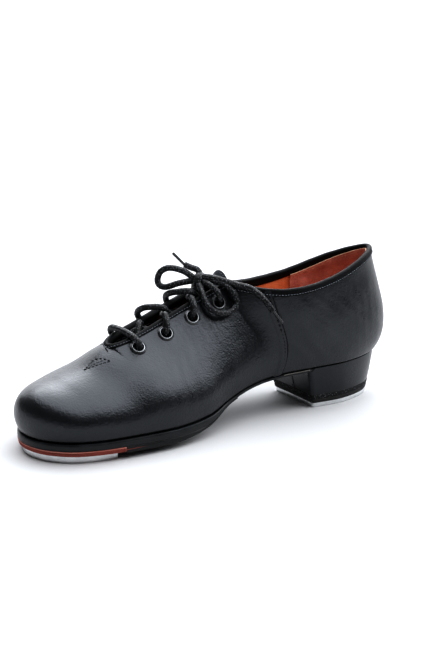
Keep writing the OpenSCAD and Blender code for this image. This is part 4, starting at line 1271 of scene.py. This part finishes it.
def make_heel():
    """The covered block, the speckled lift and the board, from the top down."""
    board_z = HEEL_TAP
    lift_z = board_z + HEEL_BOARD
    block_z = lift_z + HEEL_LIFT
    shape = Shape()
    heel_layer(shape, block_z + 0.05, HEEL_TOP, 0.35,
               lambda y: sole_z(y) + (WAIST + 0.1) * smooth((y - HEEL_Y) / 3))
    shape.tube(on_breast(0.56, block_z + 0.6, HEEL_TOP - 1.2), 0.32, 10)
    shape.piece("heel_cover_leather", "heel_leather", [HEEL_LEATHER], ["heel_cover"])
    shape = Shape()
    heel_layer(shape, lift_z, block_z, 0.35)
    shape.piece("heel_lift_speckled", "lift_rubber", [LIFT_RUBBER], ["heel_lift"])
    shape = Shape()
    heel_layer(shape, board_z, lift_z - 0.05, 0.25)
    shape.piece("heel_board", "dark_fibre", [DARK_FIBRE], ["heel_sound_board"])


def on_breast(share, low, high):
    """Upright line on the heel breast at a share of its width, from the lateral side."""
    points = []
    for z in np.linspace(low, high, 12):
        p = heel_outline(z)
        front = p[p[:, 1] < p[:, 1].min() + 2.2]
        x = mix(front[:, 0].min(), front[:, 0].max(), share)
        near = front[np.argmin(np.abs(front[:, 0] - x))]
        points.append([near[0], near[1], z])
    return points


TOE_SCREWS = [[-13, -110], [24, -110], [5.5, -94]]
HEEL_SCREWS = [[5, 78], [-8, 104], [18, 104]]

make_vamp()
for side_sign in (1, -1):
    make_quarter(side_sign)
make_vamp_lining()
for side_sign in (1, -1):
    make_side_lining(side_sign)
make_heel_grip()
make_binding()
for side_sign in (1, -1):
    make_eyelets(side_sign)
make_tongue()
make_outsole()
make_half_sole()
make_toe_board()
make_insole()
tap_plate("toe_tap_plate", "toe_tap", toe_tap_outline, TOE_TAP, 0.8, TOE_SCREWS)
tap_plate("heel_tap_plate", "heel_tap", lambda inset: heel_outline(0, inset), HEEL_TAP - 0.05, 0.7,
          HEEL_SCREWS)
make_heel()

# ---- CAD pieces that stay
CARRIED = {f"{end}_screw_{k}": SCREW_STEEL for end in ("toe", "heel") for k in (1, 2, 3)}
CARRIED |= {
    "heel_nails": metal("nail_steel", "a8abad", 0.35), "shank": metal("shank_steel", "8f949a", 0.3),
    "toe_puff": board("stiffener_board", "9c8c6e", "c9bb9c", "7c6c50"),
    "heel_counter": board("counter_board", "9c8c6e", "c4b592", "7c6c50"),
    "eyelet_stay_medial": board("stay_tape", "b8b09c", "dad3c2", "9a927e"),
    "eyelet_stay_lateral": board("stay_tape_lateral", "b8b09c", "dad3c2", "9a927e"),
    "insole_board": board("insole_fibre", "8c7350", "b89c72", "6a5538"),
    "bottom_filler": board("filler_cork", "a77d50", "d3a877", "6e4c2c"),
    "heel_block": board("stacked_heel", "66563f", "8d7858", "4a3d2c"),
}
for node, finish in CARRIED.items():
    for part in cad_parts[node].material_slots:
        part.material = finish


# ---- Studio
def soft_light(name, azimuth, elevation, spread, strength):
    """Broad distant light on the far side of the shoe, at an elevation in degrees."""
    data = bpy.data.lights.new(name, "SUN")
    data.angle = math.radians(spread)
    data.energy = strength
    data.color = (0.94, 0.96, 1)
    lamp = bpy.data.objects.new(name, data)
    flat, up = math.cos(math.radians(elevation)), math.sin(math.radians(elevation))
    to_light = Vector((-math.sin(azimuth) * flat, math.cos(azimuth) * flat, up))
    lamp.rotation_euler = (-to_light).to_track_quat("-Z", "Y").to_euler()
    scene.collection.objects.link(lamp)


def make_studio():
    floor = bpy.data.meshes.new("floor")
    half = 6
    corners = [(-half, -half, 0), (half, -half, 0), (half, half, 0), (-half, half, 0)]
    floor.from_pydata(corners, [], [(0, 1, 2, 3)])
    ground = bpy.data.objects.new("floor", floor)
    scene.collection.objects.link(ground)
    paper = Surface("floor_paper", 0.9)
    paper.colour(paper.noise(3, 2), tone("b4b4b4"), tone("b8b8b8"))
    floor.materials.append(paper.material)
    scene.world = scene.world or bpy.data.worlds.new("world")
    scene.world.use_nodes = True
    sky = scene.world.node_tree.nodes["Background"]
    sky.inputs[0].default_value = (0.93, 0.96, 1, 1)
    sky.inputs[1].default_value = 0.16
    soft_light("overhead_softbox", VIEW_AZIMUTH - math.radians(42), 62, 108, 9.6)
    soft_light("backdrop", VIEW_AZIMUTH + math.radians(10), 28, 60, 1.5)
    scene.view_settings.view_transform = "Standard"
    scene.view_settings.gamma = 0.8


make_studio()
